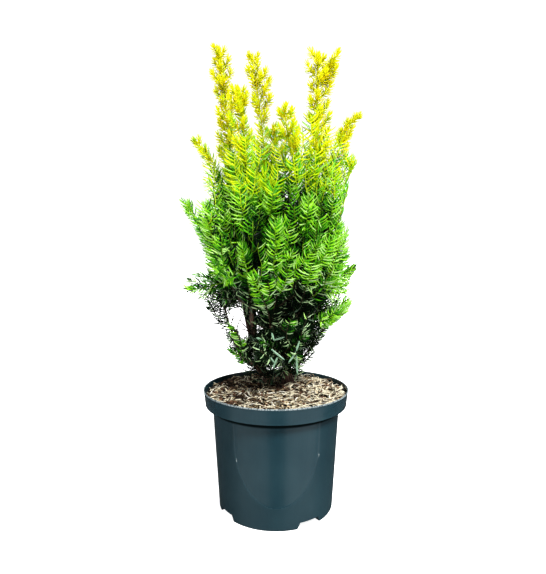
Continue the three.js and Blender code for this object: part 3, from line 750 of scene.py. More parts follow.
GROUND = pot_height - MIX["edge_drop"] + MIX["mound"] + 0.3
STEMS = {
    "trunk": {
        "route": [(16, 22, GROUND), (15, 20, 188), (11, 17, 225), (14, 13, 256), (27, 6, 292)],
        "radii": (6.2, 2.9),
    },
    "left_stem": {
        "route": [(-12, 22, GROUND), (-21, 20, 182), (-29, 17, 210), (-30, 15, 242), (-39, 12, 280)],
        "radii": (4.6, 2.9),
    },
}
FLARE = {"height": 16.0, "share": 0.55}
STEM_SUNK = 5.0  # how far a stem's foot goes on into the loose mix
MIDDLE = np.array([5.0, 17.0])  # of the plant, seen from above
BOUGHS = {  # the stem that carries it, the height it leaves at, its tip, and its foot radius
    "bough_left_edge": ("left_stem", 184, (-58, 10, 224), 2.9),
    "bough_left_skirt": ("left_stem", 170, (-33, -6, 190), 2.7),
    "bough_left_low": ("left_stem", 268, (-60, -8, 292), 2.8),
    "bough_left_front": ("left_stem", 232, (-32, -16, 266), 3.0),
    "bough_left_back": ("left_stem", 202, (-42, 44, 244), 3.0),
    "bough_middle": ("trunk", 234, (-6, 16, 282), 3.1),
    "bough_front": ("trunk", 202, (-6, -20, 240), 3.0),
    "bough_front_right": ("trunk", 216, (26, -18, 254), 3.0),
    "bough_front_skirt": ("trunk", 177, (8, -14, 200), 2.7),
    "bough_right": ("trunk", 244, (54, 10, 288), 3.1),
    "bough_right_low": ("trunk", 196, (42, 2, 234), 2.9),
    "bough_right_skirt": ("trunk", 170, (34, 16, 188), 2.7),
    "bough_back": ("trunk", 208, (6, 50, 256), 3.1),
    "bough_back_right": ("trunk", 188, (38, 46, 228), 3.0),
    "bough_back_skirt": ("trunk", 180, (-4, 48, 206), 2.7),
}
BOUGH_TIP_RADIUS = 2.7
LIMB_GAP = 0.3  # between a limb and what carries it
# Leafy shoots: what carries each, its tip, and how far it leans there, in degrees from upright.
SHOOTS = {
    "leader_left": ("left_stem", (-73, 8, 590), 9),
    "shoot_left_crook": ("left_stem", (-106, 12, 476), 52),
    "shoot_left_inner": ("left_stem", (-66, 36, 440), 12),
    "leader_left_front": ("bough_left_front", (-47, -22, 530), 12),
    "shoot_left_face": ("bough_left_front", (-40, -58, 340), 45),
    "leader_middle": ("bough_middle", (-31, 12, 583), 11),
    "shoot_middle_back": ("bough_middle", (-3, 38, 500), 5),
    "shoot_middle_face": ("bough_middle", (-13, -26, 432), 10),
    "leader_right": ("trunk", (53, 2, 581), 2),
    "shoot_middle": ("trunk", (10, -14, 510), 14),
    "shoot_right_face": ("trunk", (36, -36, 386), 24),
    "shoot_right_crook": ("bough_right", (109, 26, 510), 58),
    "shoot_right_edge": ("bough_right", (99, -4, 452), 22),
    "shoot_right_front": ("bough_right", (88, -34, 412), 20),
    "shoot_right_side": ("bough_right_low", (92, -16, 362), 30),
    "shoot_right_wing": ("bough_front_right", (96, -44, 314), 64),
    "shoot_front_right": ("bough_front_right", (51, -66, 346), 44),
    "shoot_front": ("bough_front", (20, -74, 333), 48),
    "shoot_front_left": ("bough_front", (-28, -76, 304), 52),
    "shoot_front_high": ("bough_front", (4, -50, 368), 14),
    "shoot_left_wing": ("bough_left_low", (-112, -14, 286), 70),
    "shoot_left_low_face": ("bough_left_low", (-62, -62, 322), 50),
    "shoot_left_rise": ("bough_left_low", (-86, -30, 388), 16),
    "shoot_left_edge": ("bough_left_edge", (-120, 6, 398), 42),
    "shoot_left_skirt": ("bough_left_skirt", (-60, -26, 210), 62),
    "shoot_front_skirt": ("bough_front_skirt", (-16, -56, 226), 60),
    "shoot_front_skirt_right": ("bough_front_skirt", (36, -54, 232), 58),
    "shoot_right_skirt": ("bough_right_skirt", (94, 4, 266), 48),
    "shoot_right_low": ("bough_right_low", (84, -42, 262), 60),
    "shoot_back_high": ("bough_back", (14, 64, 470), 10),
    "shoot_back": ("bough_back", (-16, 98, 384), 34),
    "shoot_back_low": ("bough_back", (22, 100, 322), 56),
    "shoot_back_left_high": ("bough_left_back", (-46, 60, 462), 8),
    "shoot_back_left": ("bough_left_back", (-94, 50, 376), 34),
    "shoot_back_left_low": ("bough_left_back", (-58, 94, 314), 54),
    "shoot_back_right_high": ("bough_back_right", (54, 58, 446), 8),
    "shoot_back_right": ("bough_back_right", (92, 56, 366), 32),
    "shoot_back_right_low": ("bough_back_right", (66, 94, 300), 58),
    "shoot_back_skirt": ("bough_back_skirt", (-34, 92, 244), 62),
}
SHOOT_FORK = {"leader_right": {"along": 0.87, "bearing": 0, "length": 36}}  # a second tip
CORE_RADIUS = 1.15  # of a leafy shoot's stem, halfway
BARK_DARK = (0.062, 0.034, 0.026)
BARK_PLATE = (0.20, 0.125, 0.090)
BARK_RUST = (0.27, 0.085, 0.040)
UP = np.array([0.0, 0.0, 1.0])


def unit(vector):
    return vector / np.maximum(np.linalg.norm(vector, axis=-1, keepdims=True), 1e-9)


class Path:
    """A curve kept as close points, read by the share of its length."""

    def __init__(self, points):
        self.points = np.asarray(points, float)
        self.run = np.r_[0, np.cumsum(np.linalg.norm(np.diff(self.points, axis=0), axis=1))]
        self.length = self.run[-1]

    def at(self, share):
        where = np.asarray(share, float) * self.length
        return np.stack([np.interp(where, self.run, self.points[:, k]) for k in range(3)], -1)

    def share_at(self, height):
        return np.interp(height, self.points[:, 2], self.run) / self.length

    def heading(self, share):
        share = np.asarray(share, float)
        step = 0.6 / self.length
        return unit(self.at(np.minimum(share + step, 1)) - self.at(np.maximum(share - step, 0)))


def bezier(points, steps=60):
    """The curve that three or four guiding points give."""
    order = len(points) - 1
    s = np.linspace(0, 1, steps + 1)[:, None]
    return Path(sum(
        math.comb(order, i) * s**i * (1 - s) ** (order - i) * np.asarray(point, float)
        for i, point in enumerate(points)
    ))


def spline(points, steps=24):
    """A smooth curve through all the points, its speed set by the square root of their spacing."""
    points = np.asarray(points, float)
    whole = np.vstack([2 * points[0] - points[1], points, 2 * points[-1] - points[-2]])
    line = [points[:1]]
    for a, b, c, d in zip(whole, whole[1:], whole[2:], whole[3:]):
        before, here, after = (math.sqrt(np.linalg.norm(q - p)) for p, q in ((a, b), (b, c), (c, d)))
        leave = ((b - a) / before - (c - a) / (before + here) + (c - b) / here) * here
        arrive = ((c - b) / here - (d - b) / (here + after) + (d - c) / after) * here
        s = np.linspace(0, 1, steps + 1)[1:, None]
        line.append(
            b + leave * s + (3 * (c - b) - 2 * leave - arrive) * s**2
            + (2 * (b - c) + leave + arrive) * s**3)
    return Path(np.vstack(line))


def cross_axes(heading, spot):
    """Two directions square to the heading; the first runs round the plant's middle."""
    across = np.cross(UP, np.append(spot[:2] - MIDDLE, 0.0))
    across = unit(across - heading * np.dot(across, heading))
    return across, np.cross(heading, across)


def skin_round(path, shares, radius, turn, cap):
    """A closed skin round a path, with a radius for each share, or for each share and turn."""
    points, headings = path.at(shares), path.heading(shares)
    across = [cross_axes(headings[0], path.at(1.0))[0]]
    for heading in headings:
        across.append(unit(across[-1] - heading * np.dot(across[-1], heading)))
    across = np.array(across[1:])
    rings = (
        points[:, None] + across[:, None] * (np.cos(turn) * radius)[..., None]
        + np.cross(headings, across)[:, None] * (np.sin(turn) * radius)[..., None]
    )
    return tube_of(rings, points[0], points[-1] + headings[-1] * cap)


limbs = {}  # the path and tip radius of every stem and bough
wood = []  # all wood that needles keep clear of: its name, places and radii


def remember_wood(name, path, radius_at, every=2.5):
    shares = np.linspace(0, 1, max(3, round(path.length / every)))
    wood.append((name, path.at(shares), radius_at(shares)))


def stem_radius(name, share, length):
    foot, tip = STEMS[name]["radii"]
    flare = np.maximum(0, 1 - share * length / FLARE["height"]) ** 2 * FLARE["share"]
    return (foot + (tip - foot) * share) * (1 + flare)


def grow_stem(name):
    route = [np.array(point, float) for point in STEMS[name]["route"]]
    path = spline([route[0], route[0] + UP * FLARE["height"] / 2, *route[1:]])
    limbs[name] = (path, STEMS[name]["radii"][1])
    remember_wood(name, path, lambda share: stem_radius(name, share, path.length))
    sunk = Path(np.vstack([path.points[0] - UP * STEM_SUNK, path.points]))
    skip = STEM_SUNK / sunk.length
    bark_limb(name, sunk, lambda share: stem_radius(name, np.maximum(share - skip, 0), sunk.length))


def grow_bough(name):
    stem, leaves, tip, radius = BOUGHS[name]
    stem_path = limbs[stem][0]
    share = stem_path.share_at(leaves)
    centre, heading = stem_path.at(share), stem_path.heading(share)
    end = np.array(tip, float)
    out = end - centre
    out = unit(out - heading * np.dot(out, heading))
    foot, top = STEMS[stem]["radii"]
    start = centre + out * ((foot + (top - foot) * share) * 1.02 + LIMB_GAP)
    span = np.linalg.norm(end - start)
    rise = unit(sum(unit(np.array(shoot[1], float) - end) for shoot in SHOOTS.values() if shoot[0] == name))
    path = bezier([start, start + out * span * 0.3, end - rise * span * 0.42, end])
    limbs[name] = (path, BOUGH_TIP_RADIUS)

    def radius_at(share):
        return radius + (BOUGH_TIP_RADIUS - radius) * share

    remember_wood(name, path, radius_at)
    rooted = Path(np.vstack([centre, path.points]))
    collar = np.linalg.norm(start - centre)
    bark_limb(name, rooted, lambda share: radius_at(share) * (
        1 + 0.5 * np.exp(-np.maximum(share * rooted.length - collar, 0) / 3.0)))


def bark_limb(name, path, radius_at, sides=22, every=0.9):
    """A limb with the bark's relief: long plates that lift at their edges, over a knobbly core."""
    random = np.random.default_rng(sum(map(ord, name)))
    shares = np.linspace(0, 1, max(8, round(path.length / every)))
    turn = np.arange(sides) * 2 * math.pi / sides
    run = (shares * path.length)[:, None]

    def ripples(count, fewest, most, low, high):
        return sum(
            np.sin(random.integers(fewest, most) * turn + run * random.uniform(low, high)
                   + random.uniform(0, 6.28))
            for _ in range(count)
        )

    plates = ripples(7, 2, 7, -0.16, 0.16) / 2.6
    knobs = ripples(5, 1, 4, 0.15, 0.5) / 2.2
    radius = radius_at(shares)[:, None] * (1 + 0.05 * knobs + 0.045 * np.tanh(3 * plates))
    piece = put_together(name + "_bark", *skin_round(path, shares, radius, turn, 0.8))
    piece.data.materials.append(bark_material)
    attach(piece, "root")
    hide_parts(name)


def yew_bark():
    material, tree = new_material("yew_bark")
    plates = grain_mask(tree, 260, along=0.28, detail=4, hardness=0.65)
    patches = grain_mask(tree, 90, along=0.5, detail=2, hardness=0.5)
    fine = grain_mask(tree, 900, along=0.35, detail=3)
    brown = blend_of(tree, plates, BARK_DARK, BARK_PLATE)
    return dress(material, maths(tree, "MULTIPLY_ADD", fine, 0.4, plates), 0.0006, 0.8, {
        "Base Color": blend_of(tree, between(tree, patches, 0.0, 0.42), brown, BARK_RUST),
        "Roughness": between(tree, fine, 0.62, 0.9),
    })


bark_material = yew_bark()
for stem_name in STEMS:
    grow_stem(stem_name)
for bough_name in BOUGHS:
    grow_bough(bough_name)


# ---- Leafy shoots ----
# Every bough ends in one to three leafy shoots, green in the bark while they are young and
# brown where they are old. Side twigs leave them by the golden turn, in flat sprays, curve
# up beside them and carry finer ones.

GOLDEN_TURN = math.pi * (3 - math.sqrt(5))
# Side twigs: the shares of the stem where the first and the last leave, one every so many
# millimetres, their length and angle, and the depth of their spray against its width.
SIDE_TWIGS = {
    "leader": (0.02, 0.80, 9.0, 48.0, 23.0, 0.7),
    "shoot": (0.03, 0.86, 10.5, 50.0, 27.0, 0.8),
    "twig": (0.20, 0.70, 18.0, 22.0, 30.0, 0.6),
    "limb": (0.10, 1.00, 2.6, 32.0, 60.0, 1.0),
}
# Leaves: the size of a stem's needles, how much they lie in two rows, and its share without any.
LEAFING = {
    "leader": (1.0, 0.55, 0.02), "shoot": (1.0, 1.0, 0.02), "tuft": (0.48, 0.0, 0.20),
    "twig": (0.92, 0.85, 0.06), "fine": (0.78, 0.85, 0.15), "inner": (0.95, 0.4, 0.1),
    "limb": (0.95, 0.0, 0.12), "comb": (0.95, 1.0, 0.02), "bare": (0.0, 0.0, 1.0),
}
INSIDE_AGE = 150.0  # the wood inside the crown counts as this far from a shoot's tip
EDGE_AGE = 400.0  # and the edge's old comb as this far
FORKED_FROM = 44.0  # length from which a side twig carries finer ones
TWIG_CEILING = 438.0  # side twigs start below this; above it the shoots only have tufts
HIGHER_CEILING = {"shoot_middle": 462.0, "leader_right": 478.0, "shoot_right_crook": 455.0}
CROOKS = ("shoot_right_crook", "shoot_left_crook")
CROOK_BARE = 62.0  # length at a crook's tip without side twigs
BARE_BELOW = 196.0  # the two stems carry no leaves below this height
OLD_WOOD = ("inner", "limb", "comb", "bare")  # kinds of spray whose stems are old
LEADERS = ("leader_left", "leader_left_front", "leader_middle", "leader_right")
# Tufts are short side shoots near the leaders' tips: where each one's tip stands.
TUFTS = {
    "leader_left": [
        (-72, 0, 586), (-70, -2, 570), (-72, -2, 552), (-68, 0, 528), (-72, 6, 500), (-58, 0, 508),
        (-74, 4, 484), (-73, 4, 466), (-58, -2, 478), (-79, 6, 594), (-66, 10, 592), (-79, 12, 579),
        (-60, 2, 578), (-58, 12, 566), (-81, 4, 562), (-66, -6, 552), (-76, 4, 540), (-61, 6, 538),
        (-56, 4, 520), (-74, 2, 514), (-55, 8, 496),
    ],
    "leader_left_front": [
        (-54, -24, 533), (-39, -20, 532), (-57, -24, 522), (-36, -26, 524), (-46, -34, 514),
        (-56, -30, 498), (-38, -30, 494), (-36, -24, 470),
        (-43, -28, 509), (-31, -18, 480), (-46, -34, 527), (-38, -22, 519), (-56, -22, 480), (-50, -30, 470),
    ],
    "leader_middle": [
        (-35, 14, 586), (-23, 10, 584), (-36, 10, 568), (-13, 12, 567), (-31, 4, 556), (-8, 14, 556),
        (-13, 8, 543), (-7, 10, 534), (-24, 20, 516),
        (-23, 2, 572), (-20, 2, 558), (-28, 2, 530), (-29, 4, 478), (-12, 4, 512),
    ],
    "leader_right": [
        (44, 4, 588), (61, 8, 582), (40, 0, 570), (78, -2, 584), (70, 2, 572), (76, 0, 566), (62, -6, 560),
        (44, 2, 546), (70, 0, 546), (43, -6, 526), (66, 4, 524), (42, 0, 506), (68, 2, 508),
        (67, 6, 490), (47, 2, 487), (66, -4, 472), (53, -8, 576), (56, -6, 552), (52, -8, 532),
        (48, -2, 474), (55, -8, 512),
    ],
    "shoot_middle": [
        (20, -14, 509), (4, -12, 508), (12, -20, 512), (22, -20, 494), (4, -18, 488), (27, -14, 486),
        (27, -14, 472), (24, -20, 478),
    ],
    "shoot_middle_back": [
        (-12, 36, 497), (8, 36, 494), (-14, 34, 474), (10, 30, 472), (0, 28, 500), (-4, 24, 466),
        (0, 28, 482),
    ],
    "shoot_right_crook": [
        (104, 22, 512), (98, 30, 505), (92, 20, 496), (101, 20, 496), (84, 22, 484), (110, 24, 513),
        (94, 24, 506), (86, 28, 494), (90, 18, 482), (97, 20, 486), (93, 20, 472), (91, 22, 460),
    ],
    "shoot_left_crook": [(-100, 10, 480), (-92, 14, 470), (-98, 12, 464), (-88, 10, 456), (-106, 10, 478)],
    "shoot_right_edge": [(92, -4, 448), (100, -6, 444)],
    "shoot_left_edge": [(-112, 4, 396), (-116, 8, 388)],
}
YOUNG_TIP = {  # length of short-needled young growth at a shoot's tip, where it isn't the usual
    "leader_left": 180.0, "leader_left_front": 120.0, "leader_middle": 190.0, "leader_right": 120.0,
    "shoot_right_crook": 130.0, "shoot_left_crook": 110.0, "shoot_middle": 95.0,
    "shoot_middle_back": 80.0,
}
USUAL_YOUNG_TIP = 45.0
YOUNG_NEEDLE = 0.50  # of the full length, at the tip
CLEARINGS = [  # open places, straight through the crown from front to back: x, height, radius
    (13, 455, 5), (12, 434, 6), (15, 404, 5), (-30, 508, 3.5), (-30, 498, 3.5), (39, 492, 4),
    (39, 480, 4), (39, 470, 3), (-105, 409, 7), (-97, 404, 4),
    (-48, 266, 4.5), (-49, 255, 6.5), (-45, 242, 7), (-40, 232, 6.5), (-43, 223, 3.5), (-24, 252, 4),
    (-22, 234, 4),
]
# Hollows of the crown's front, through which its dark inside shows: x, height, radius.
HOLLOWS = [
    (-32, 322, 11), (-43, 296, 13), (-22, 298, 8), (27, 341, 6), (-2, 330, 5), (-46, 350, 7), (30, 268, 15),
    (4, 262, 17), (-14, 252, 12), (52, 246, 10),
]
HOLLOWS_FROM = -26.0  # they're open from here to the front
# Thin leafless twigs in the open place beside the left stem.
BARE_TWIGS = [
    [(-57, 9, 224), (-62, 6, 238), (-54, 3, 253)], [(-53, 9, 221), (-53, 6, 238), (-43, 2, 251)],
    [(-32, 15, 226), (-40, 8, 232), (-47, 5, 243)], [(-32, 14, 221), (-36, 6, 232), (-48, 3, 232)],
]
# Short twigs that shape the crown's edge: what carries them, and each one's needle size and points.
EDGE_TWIGS = {
    "shoot_left_wing": [
        (0.72, (-70, -10, 292), (-84, -12, 299), (-100, -12, 303)),
        (0.72, (-84, -12, 289), (-96, -14, 294), (-111, -14, 297)),
        (0.72, (-74, -10, 290), (-86, -16, 282), (-97, -18, 274)),
        (0.66, (-90, -12, 288), (-102, -6, 286), (-115, -4, 284)),
    ],
    "shoot_left_skirt": [
        (0.62, (-40, -12, 193), (-45, -18, 195), (-50, -24, 195)),
        (0.62, (-46, -16, 198), (-51, -20, 203), (-56, -22, 208)),
    ],
    "shoot_right_low": [
        (0.85, (60, -20, 248), (74, -28, 262), (89, -34, 275)),
        (0.85, (66, -28, 252), (80, -34, 261), (92, -38, 268)),
        (0.85, (56, -16, 244), (72, -28, 248), (84, -36, 256)),
        (0.85, (70, -32, 255), (80, -42, 257), (87, -46, 259)),
    ],
    "shoot_right_wing": [
        (0.9, (66, -36, 292), (82, -38, 296), (97, -38, 302)),
        (0.9, (60, -34, 288), (76, -36, 289), (91, -36, 293)),
        (0.9, (56, -32, 284), (70, -36, 281), (85, -38, 283)),
        (0.9, (72, -38, 297), (84, -42, 304), (94, -42, 311)),
    ],
}
# How far the crown reaches to the left and right at each height.
REACH = [
    (165, -46, 36), (177, -48, 40), (190, -53, 49), (204, -66, 57), (217, -66, 65), (231, -80, 72),
    (244, -86, 85), (258, -94, 97), (269, -98, 101), (276, -113, 96), (284, -123, 93), (297, -122, 98),
    (306, -114, 104), (313, -100, 106),
    (323, -95, 102), (336, -98, 98), (348, -103, 96), (361, -110, 94), (374, -117, 86), (387, -125, 88),
    (402, -129, 91),
    (408, -96, 93), (425, -95, 94), (450, -99, 106), (462, -107, 96), (476, -120, 98), (488, -120, 100),
    (502, -110, 112), (600, -96, 120),
]
BOX_MARGIN = 0.5  # the needles stay this far inside the box of the solids
SPACE_OVERLAP = 11.0  # how far a needle may reach in among its neighbour's
sprays = []  # every leafy stem


class Spray(NamedTuple):
    """A leafy stem."""

    shoot: str
    path: Path
    kind: str
    size: float  # of its needles
    ranked: float  # 0 where its needles stand all round it and 1 where they lie in two rows
    bare: float  # share of its length without needles
    tip_gap: float  # from its own tip to the shoot's


def leaf_out(shoot, path, kind, tip_gap=0.0, **changes):
    sprays.append(Spray(shoot, path, kind, *LEAFING[kind], tip_gap)._replace(**changes))


def seats(carrier):
    """Where the shoots of one fork start: even round its tip, each facing its own way."""
    path, tip_radius = limbs[carrier]
    heading, fork = path.heading(1.0), path.at(1.0)
    across, over = cross_axes(heading, fork)
    turn = {}
    for name, (shoot_carrier, tip, _) in SHOOTS.items():
        if shoot_carrier == carrier:
            away = np.array(tip) - fork
            turn[name] = math.atan2(np.dot(away, over), np.dot(away, across))
    order = sorted(turn, key=turn.get)
    step = 2 * math.pi / len(order)
    offsets = np.array([turn[name] - i * step for i, name in enumerate(order)])
    facing = math.atan2(np.sin(offsets).sum(), np.cos(offsets).sum())
    radius = tip_radius - CORE_RADIUS if len(order) > 1 else 0
    return {
        name: fork + heading * LIMB_GAP
        + (across * math.cos(facing + i * step) + over * math.sin(facing + i * step)) * radius
        for i, name in enumerate(order)
    }


def shoot_path(name, start):
    carrier, tip, lean = SHOOTS[name]
    fork, heading = limbs[carrier][0].at(1.0), limbs[carrier][0].heading(1.0)
    end = np.array(tip, float)
    span = np.linalg.norm(end - start)
    away = unit((end - fork) * (1, 1, 0))
    finish = UP * math.cos(math.radians(lean)) + away * math.sin(math.radians(lean))
    return bezier([start, start + heading * span * 0.28, end - finish * span * 0.36, end])


def comb_axes(places, headings):
    """Square to a stem: the way its needles' rows lie, its upper side, and outward from the plant's middle.

    A comb faces away from the plant's middle, and to the front or the back as well.
    """
    outward = unit(np.column_stack([places[:, :2] - MIDDLE, np.zeros(len(places))]))
    ahead = np.zeros_like(outward)
    ahead[:, 1] = np.where(places[:, 1] > MIDDLE[1] + 18, 1, -1)
    over = outward * 0.5 + ahead * 0.8 + UP * 0.25
    over = unit(over - headings * np.sum(over * headings, 1, keepdims=True))
    return np.cross(over, headings), over, outward


def side_paths(path, kind, random):
    """Side twigs by the golden turn, shorter towards the tip: the share they leave at, and their paths."""
    first, last, every, long, angle, depth = SIDE_TWIGS[kind]
    count = max(1, round(path.length * (last - first) / every))
    turn = random.uniform(0, 2 * math.pi)
    twigs = []
    for i in range(count):
        share = (i + 0.5 + random.uniform(-0.3, 0.3)) / count
        along = first + (last - first) * share
        root, heading = path.at(along), path.heading(along)
        row, over, _ = (axis[0] for axis in comb_axes(root[None], heading[None]))
        facing = turn + i * GOLDEN_TURN
        out = unit(row * math.cos(facing) + over * math.sin(facing) * depth)
        rising = unit(heading + UP * 0.25)
        reach = long * (1.15 - 0.5 * along) * random.uniform(0.75, 1.15)
        lean = math.radians(angle + random.uniform(-7, 7))
        tip = root + (rising * math.cos(lean) + out * math.sin(lean)) * reach
        bend = root + out * reach * 0.40 + heading * reach * 0.15
        twigs.append((along, bezier([root, bend, tip], 10)))
    return twigs


def lined_up(points):
    """Where points line up, sideways and in height, for an eye in front of the plant."""
    nearer = EYE["distance"] / (EYE["distance"] + points[:, 1] * MM)
    level = EYE["height"] / MM
    return points[:, 0] * nearer, level + (points[:, 2] - level) * nearer


def inside_rounds(points, rounds=CLEARINGS):
    """True where a point lies in one of the open places of the crown, or in other rounds."""
    aside, up = lined_up(points)
    hit = np.zeros(len(points), bool)
    for x, height, radius in rounds:
        hit |= np.hypot(aside - x, up - height) < radius
    return hit


def in_hollow(points):
    """True where a point lies in one of the hollows of the crown's front."""
    return inside_rounds(points, HOLLOWS) & (points[:, 1] < HOLLOWS_FROM)


shoot_paths = {}
for carrier_name in limbs:
    for shoot_name, seat in seats(carrier_name).items():
        shoot_paths[shoot_name] = shoot_path(shoot_name, seat)
for shoot_name in SHOOTS:
    remember_wood(shoot_name, shoot_paths[shoot_name], lambda share: np.full(len(share), CORE_RADIUS), 5.0)

wood_names = [name for name, _, _ in wood]
wood_owner = np.concatenate([np.full(len(places), i) for i, (_, places, _) in enumerate(wood)])
wood_places = np.vstack([places for _, places, _ in wood])
wood_radii = np.concatenate([radii for _, _, radii in wood])
wood_squares = np.sum(wood_places**2, 1)


def crowding(points, shoot):
    """How much nearer points are to other wood than to their own shoot's, and how near the other is."""
    squares = np.sum(points**2, 1)[:, None] + wood_squares - 2 * points @ wood_places.T
    gap = np.sqrt(np.maximum(squares, 0)) - wood_radii
    mine = wood_owner == wood_names.index(shoot)
    other = gap[:, ~mine].min(1)
    return gap[:, mine].min(1) - other, other


def past_reach(points, margin=0.0):
    """True where a point lies outside the crown's reach to the left or right, or outside its box."""
    low, high = np.array(cad_low) / MM + BOX_MARGIN, np.array(cad_high) / MM - BOX_MARGIN
    boxed_out = ((points < low) | (points > high)).any(1)
    aside, height = lined_up(points)
    heights, lefts, rights = zip(*REACH)
    left = np.interp(height, heights, lefts) + margin
    return (aside < left) | (aside > np.interp(height, heights, rights) - margin) | boxed_out


def fits(points, margin):
    """True where none of the points is in an open place or past the crown's reach."""
    return not (inside_rounds(points) | past_reach(points, margin)).any()


def tuft_path(path, tip):
    tip = np.array(tip, float)
    aside = np.linalg.norm((tip - path.at(path.share_at(tip[2])))[:2])
    root = path.at(path.share_at(tip[2] - 5 - 0.85 * aside))
    return bezier([root, root + (tip - root) * (0.75, 0.75, 0.35), tip], 10)


def grow_shoot(name, random):
    path = shoot_paths[name]
    kind = "leader" if name in LEADERS else "shoot"
    if kind == "leader":
        leaf_out(name, path, kind)
    else:
        leaf_out(name, path, kind, ranked=min(1, 0.6 + SHOOTS[name][2] / 90))
    fork = SHOOT_FORK.get(name)
    if fork:
        root = path.at(fork["along"])
        turn, long = math.radians(fork["bearing"]), fork["length"]
        aside = np.array([math.cos(turn), math.sin(turn), 0.0])
        bend = root + aside * long * 0.45 + UP * long * 0.2
        second = bezier([root, bend, root + aside * long * 0.5 + UP * long * 0.85], 12)
        leaf_out(name, second, "tuft", size=0.62, bare=0.10)
    for tip in TUFTS.get(name, []):
        leaf_out(name, tuft_path(path, tip), "tuft")
    for along, twig in side_paths(path, kind, random):
        to_tip = (1 - along) * path.length
        ends = twig.at([0.6, 1.0])
        bare = name in CROOKS and to_tip < CROOK_BARE
        high = path.at(along)[2] > HIGHER_CEILING.get(name, TWIG_CEILING)
        crowded = crowding(ends, name)[0][1] > SPACE_OVERLAP
        if bare or high or crowded or in_hollow(ends).any() or not fits(ends, 8):
            continue
        leaf_out(name, twig, "twig", to_tip * 0.6)
        if twig.length > FORKED_FROM:
            for _, fine in side_paths(twig, "twig", random):
                if fits(fine.at([0.6, 1.0]), 4):
                    leaf_out(name, fine, "fine", to_tip * 0.6)


def grow_leaves_on_limb(name, random):
    path = limbs[name][0]
    if name in BOUGHS:
        leaf_out(name, path, "limb", INSIDE_AGE)
    for _, twig in side_paths(path, "limb", random):
        too_low = name in STEMS and twig.points[0, 2] < BARE_BELOW
        if not too_low and fits(twig.at([0.5, 1.0]), 7):
            leaf_out(name, twig, "inner", INSIDE_AGE)


for number, shoot_name in enumerate(SHOOTS):
    grow_shoot(shoot_name, np.random.default_rng(500 + number))
for points in BARE_TWIGS:
    leaf_out("shoot_left_edge", bezier(points, 10), "bare", INSIDE_AGE)
for shoot_name, twigs in EDGE_TWIGS.items():
    for needle_size, *points in twigs:
        leaf_out(shoot_name, bezier(points, 10), "fine", size=needle_size, ranked=0.8, bare=0.1)
edge_stem = Path(shoot_paths["shoot_left_edge"].at(np.linspace(0.0, 0.36, 12)))
leaf_out("shoot_left_edge", edge_stem, "comb", EDGE_AGE)
for number, limb_name in enumerate(limbs):
    grow_leaves_on_limb(limb_name, np.random.default_rng(900 + number))


# ---- Stems of the leafy shoots ----
# The shoots' own thin stems taper all the way. Their bark is lime in the first year, then
# green, and brown where they are old.

TWIG_SIDES = 5
BARK_LENGTH = 32.0  # length of stem over which its bark is one colour
BARKS = {
    "lime": ((0.50, 0.62, 0.010), (0.72, 0.78, 0.020)),
    "green": ((0.075, 0.18, 0.008), (0.22, 0.38, 0.016)),
    "brown": ((0.022, 0.017, 0.010), (0.070, 0.048, 0.026)),
}
STEM_SIZES = {  # radius at the foot and at the tip
    "leader": (1.6, 0.5), "shoot": (1.2, 0.5), "tuft": (0.6, 0.45), "twig": (0.7, 0.45), "fine": (0.5, 0.4),
    "inner": (0.8, 0.5), "bare": (1.1, 0.6),
}
GREEN_FROM = 335.0  # height from which the bark is green
LIME_FROM = 430.0  # and lime
EDGE_RISE = 60.0  # both lie this much lower at the crown's edge
EDGE_AT = 90.0  # which stands this far from the middle


def twig_bark(name, colour, other):
    material, tree = new_material(name)
    ribs = grain_mask(tree, 1400, along=0.3, detail=2)
    patches = grain_mask(tree, 160, along=0.6, detail=2)
    return dress(material, ribs, 0.0002, 0.6, {
        "Base Color": blend_of(tree, patches, colour, other),
        "Roughness": between(tree, ribs, 0.42, 0.66),
        "Specular IOR Level": 0.2,
    })


def stem_tubes(spray):
    """A spray's stem in parts short enough to have one bark each: the bark, the points and the faces."""
    foot, tip = STEM_SIZES[spray.kind]
    parts = max(1, round(spray.path.length / BARK_LENGTH))
    turn = np.arange(TWIG_SIDES) * 2 * math.pi / TWIG_SIDES
    for part in range(parts):
        shares = np.linspace(part, part + 1, max(4, round(spray.path.length / parts / 7))) / parts
        radius = (foot + (tip - foot) * shares**0.55)[:, None]
        middle = spray.path.at((part + 0.5) / parts)
        height = middle[2] + EDGE_RISE * min(np.hypot(*(middle[:2] - MIDDLE)) / EDGE_AT, 1)
        if spray.kind in OLD_WOOD or height < GREEN_FROM:
            bark = "brown"
        else:
            bark = "lime" if height > LIME_FROM else "green"
        yield bark, skin_round(spray.path, shares, radius, turn, 1.2)


def join_stems(bark):
    """All the stems with one bark in one mesh."""
    own = [(spray, tube) for spray, its_bark, tube in stem_parts if its_bark == bark]
    starts = np.cumsum([0] + [len(points) for _, (points, _) in own])
    points = np.vstack([points for _, (points, _) in own])
    faces = [
        np.vstack([groups[k] + start for (_, (_, groups)), start in zip(own, starts)]) for k in range(2)
    ]
    piece = put_together("stems_" + bark, points, faces)
    piece.data.materials.append(twig_bark(bark + "_bark", *BARKS[bark]))
    nodes = sorted({spray.shoot for spray, _ in own if spray.shoot in SHOOTS})
    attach(piece, "root")
    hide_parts(*nodes)


stem_parts = [
    (spray, bark, tube)
    for spray in sprays if spray.kind in STEM_SIZES
    for bark, tube in stem_tubes(spray)
]
for bark_name in BARKS:
    join_stems(bark_name)


# ---- Needles ----
# Flat, pointed needles with a ridge along the middle, dark and glossy above and paler
# beneath. The youngest are golden. They stand in sprays, each of one colour of its own.

NEEDLE = {"length": 19.0, "width": 1.85, "thick": 0.55}
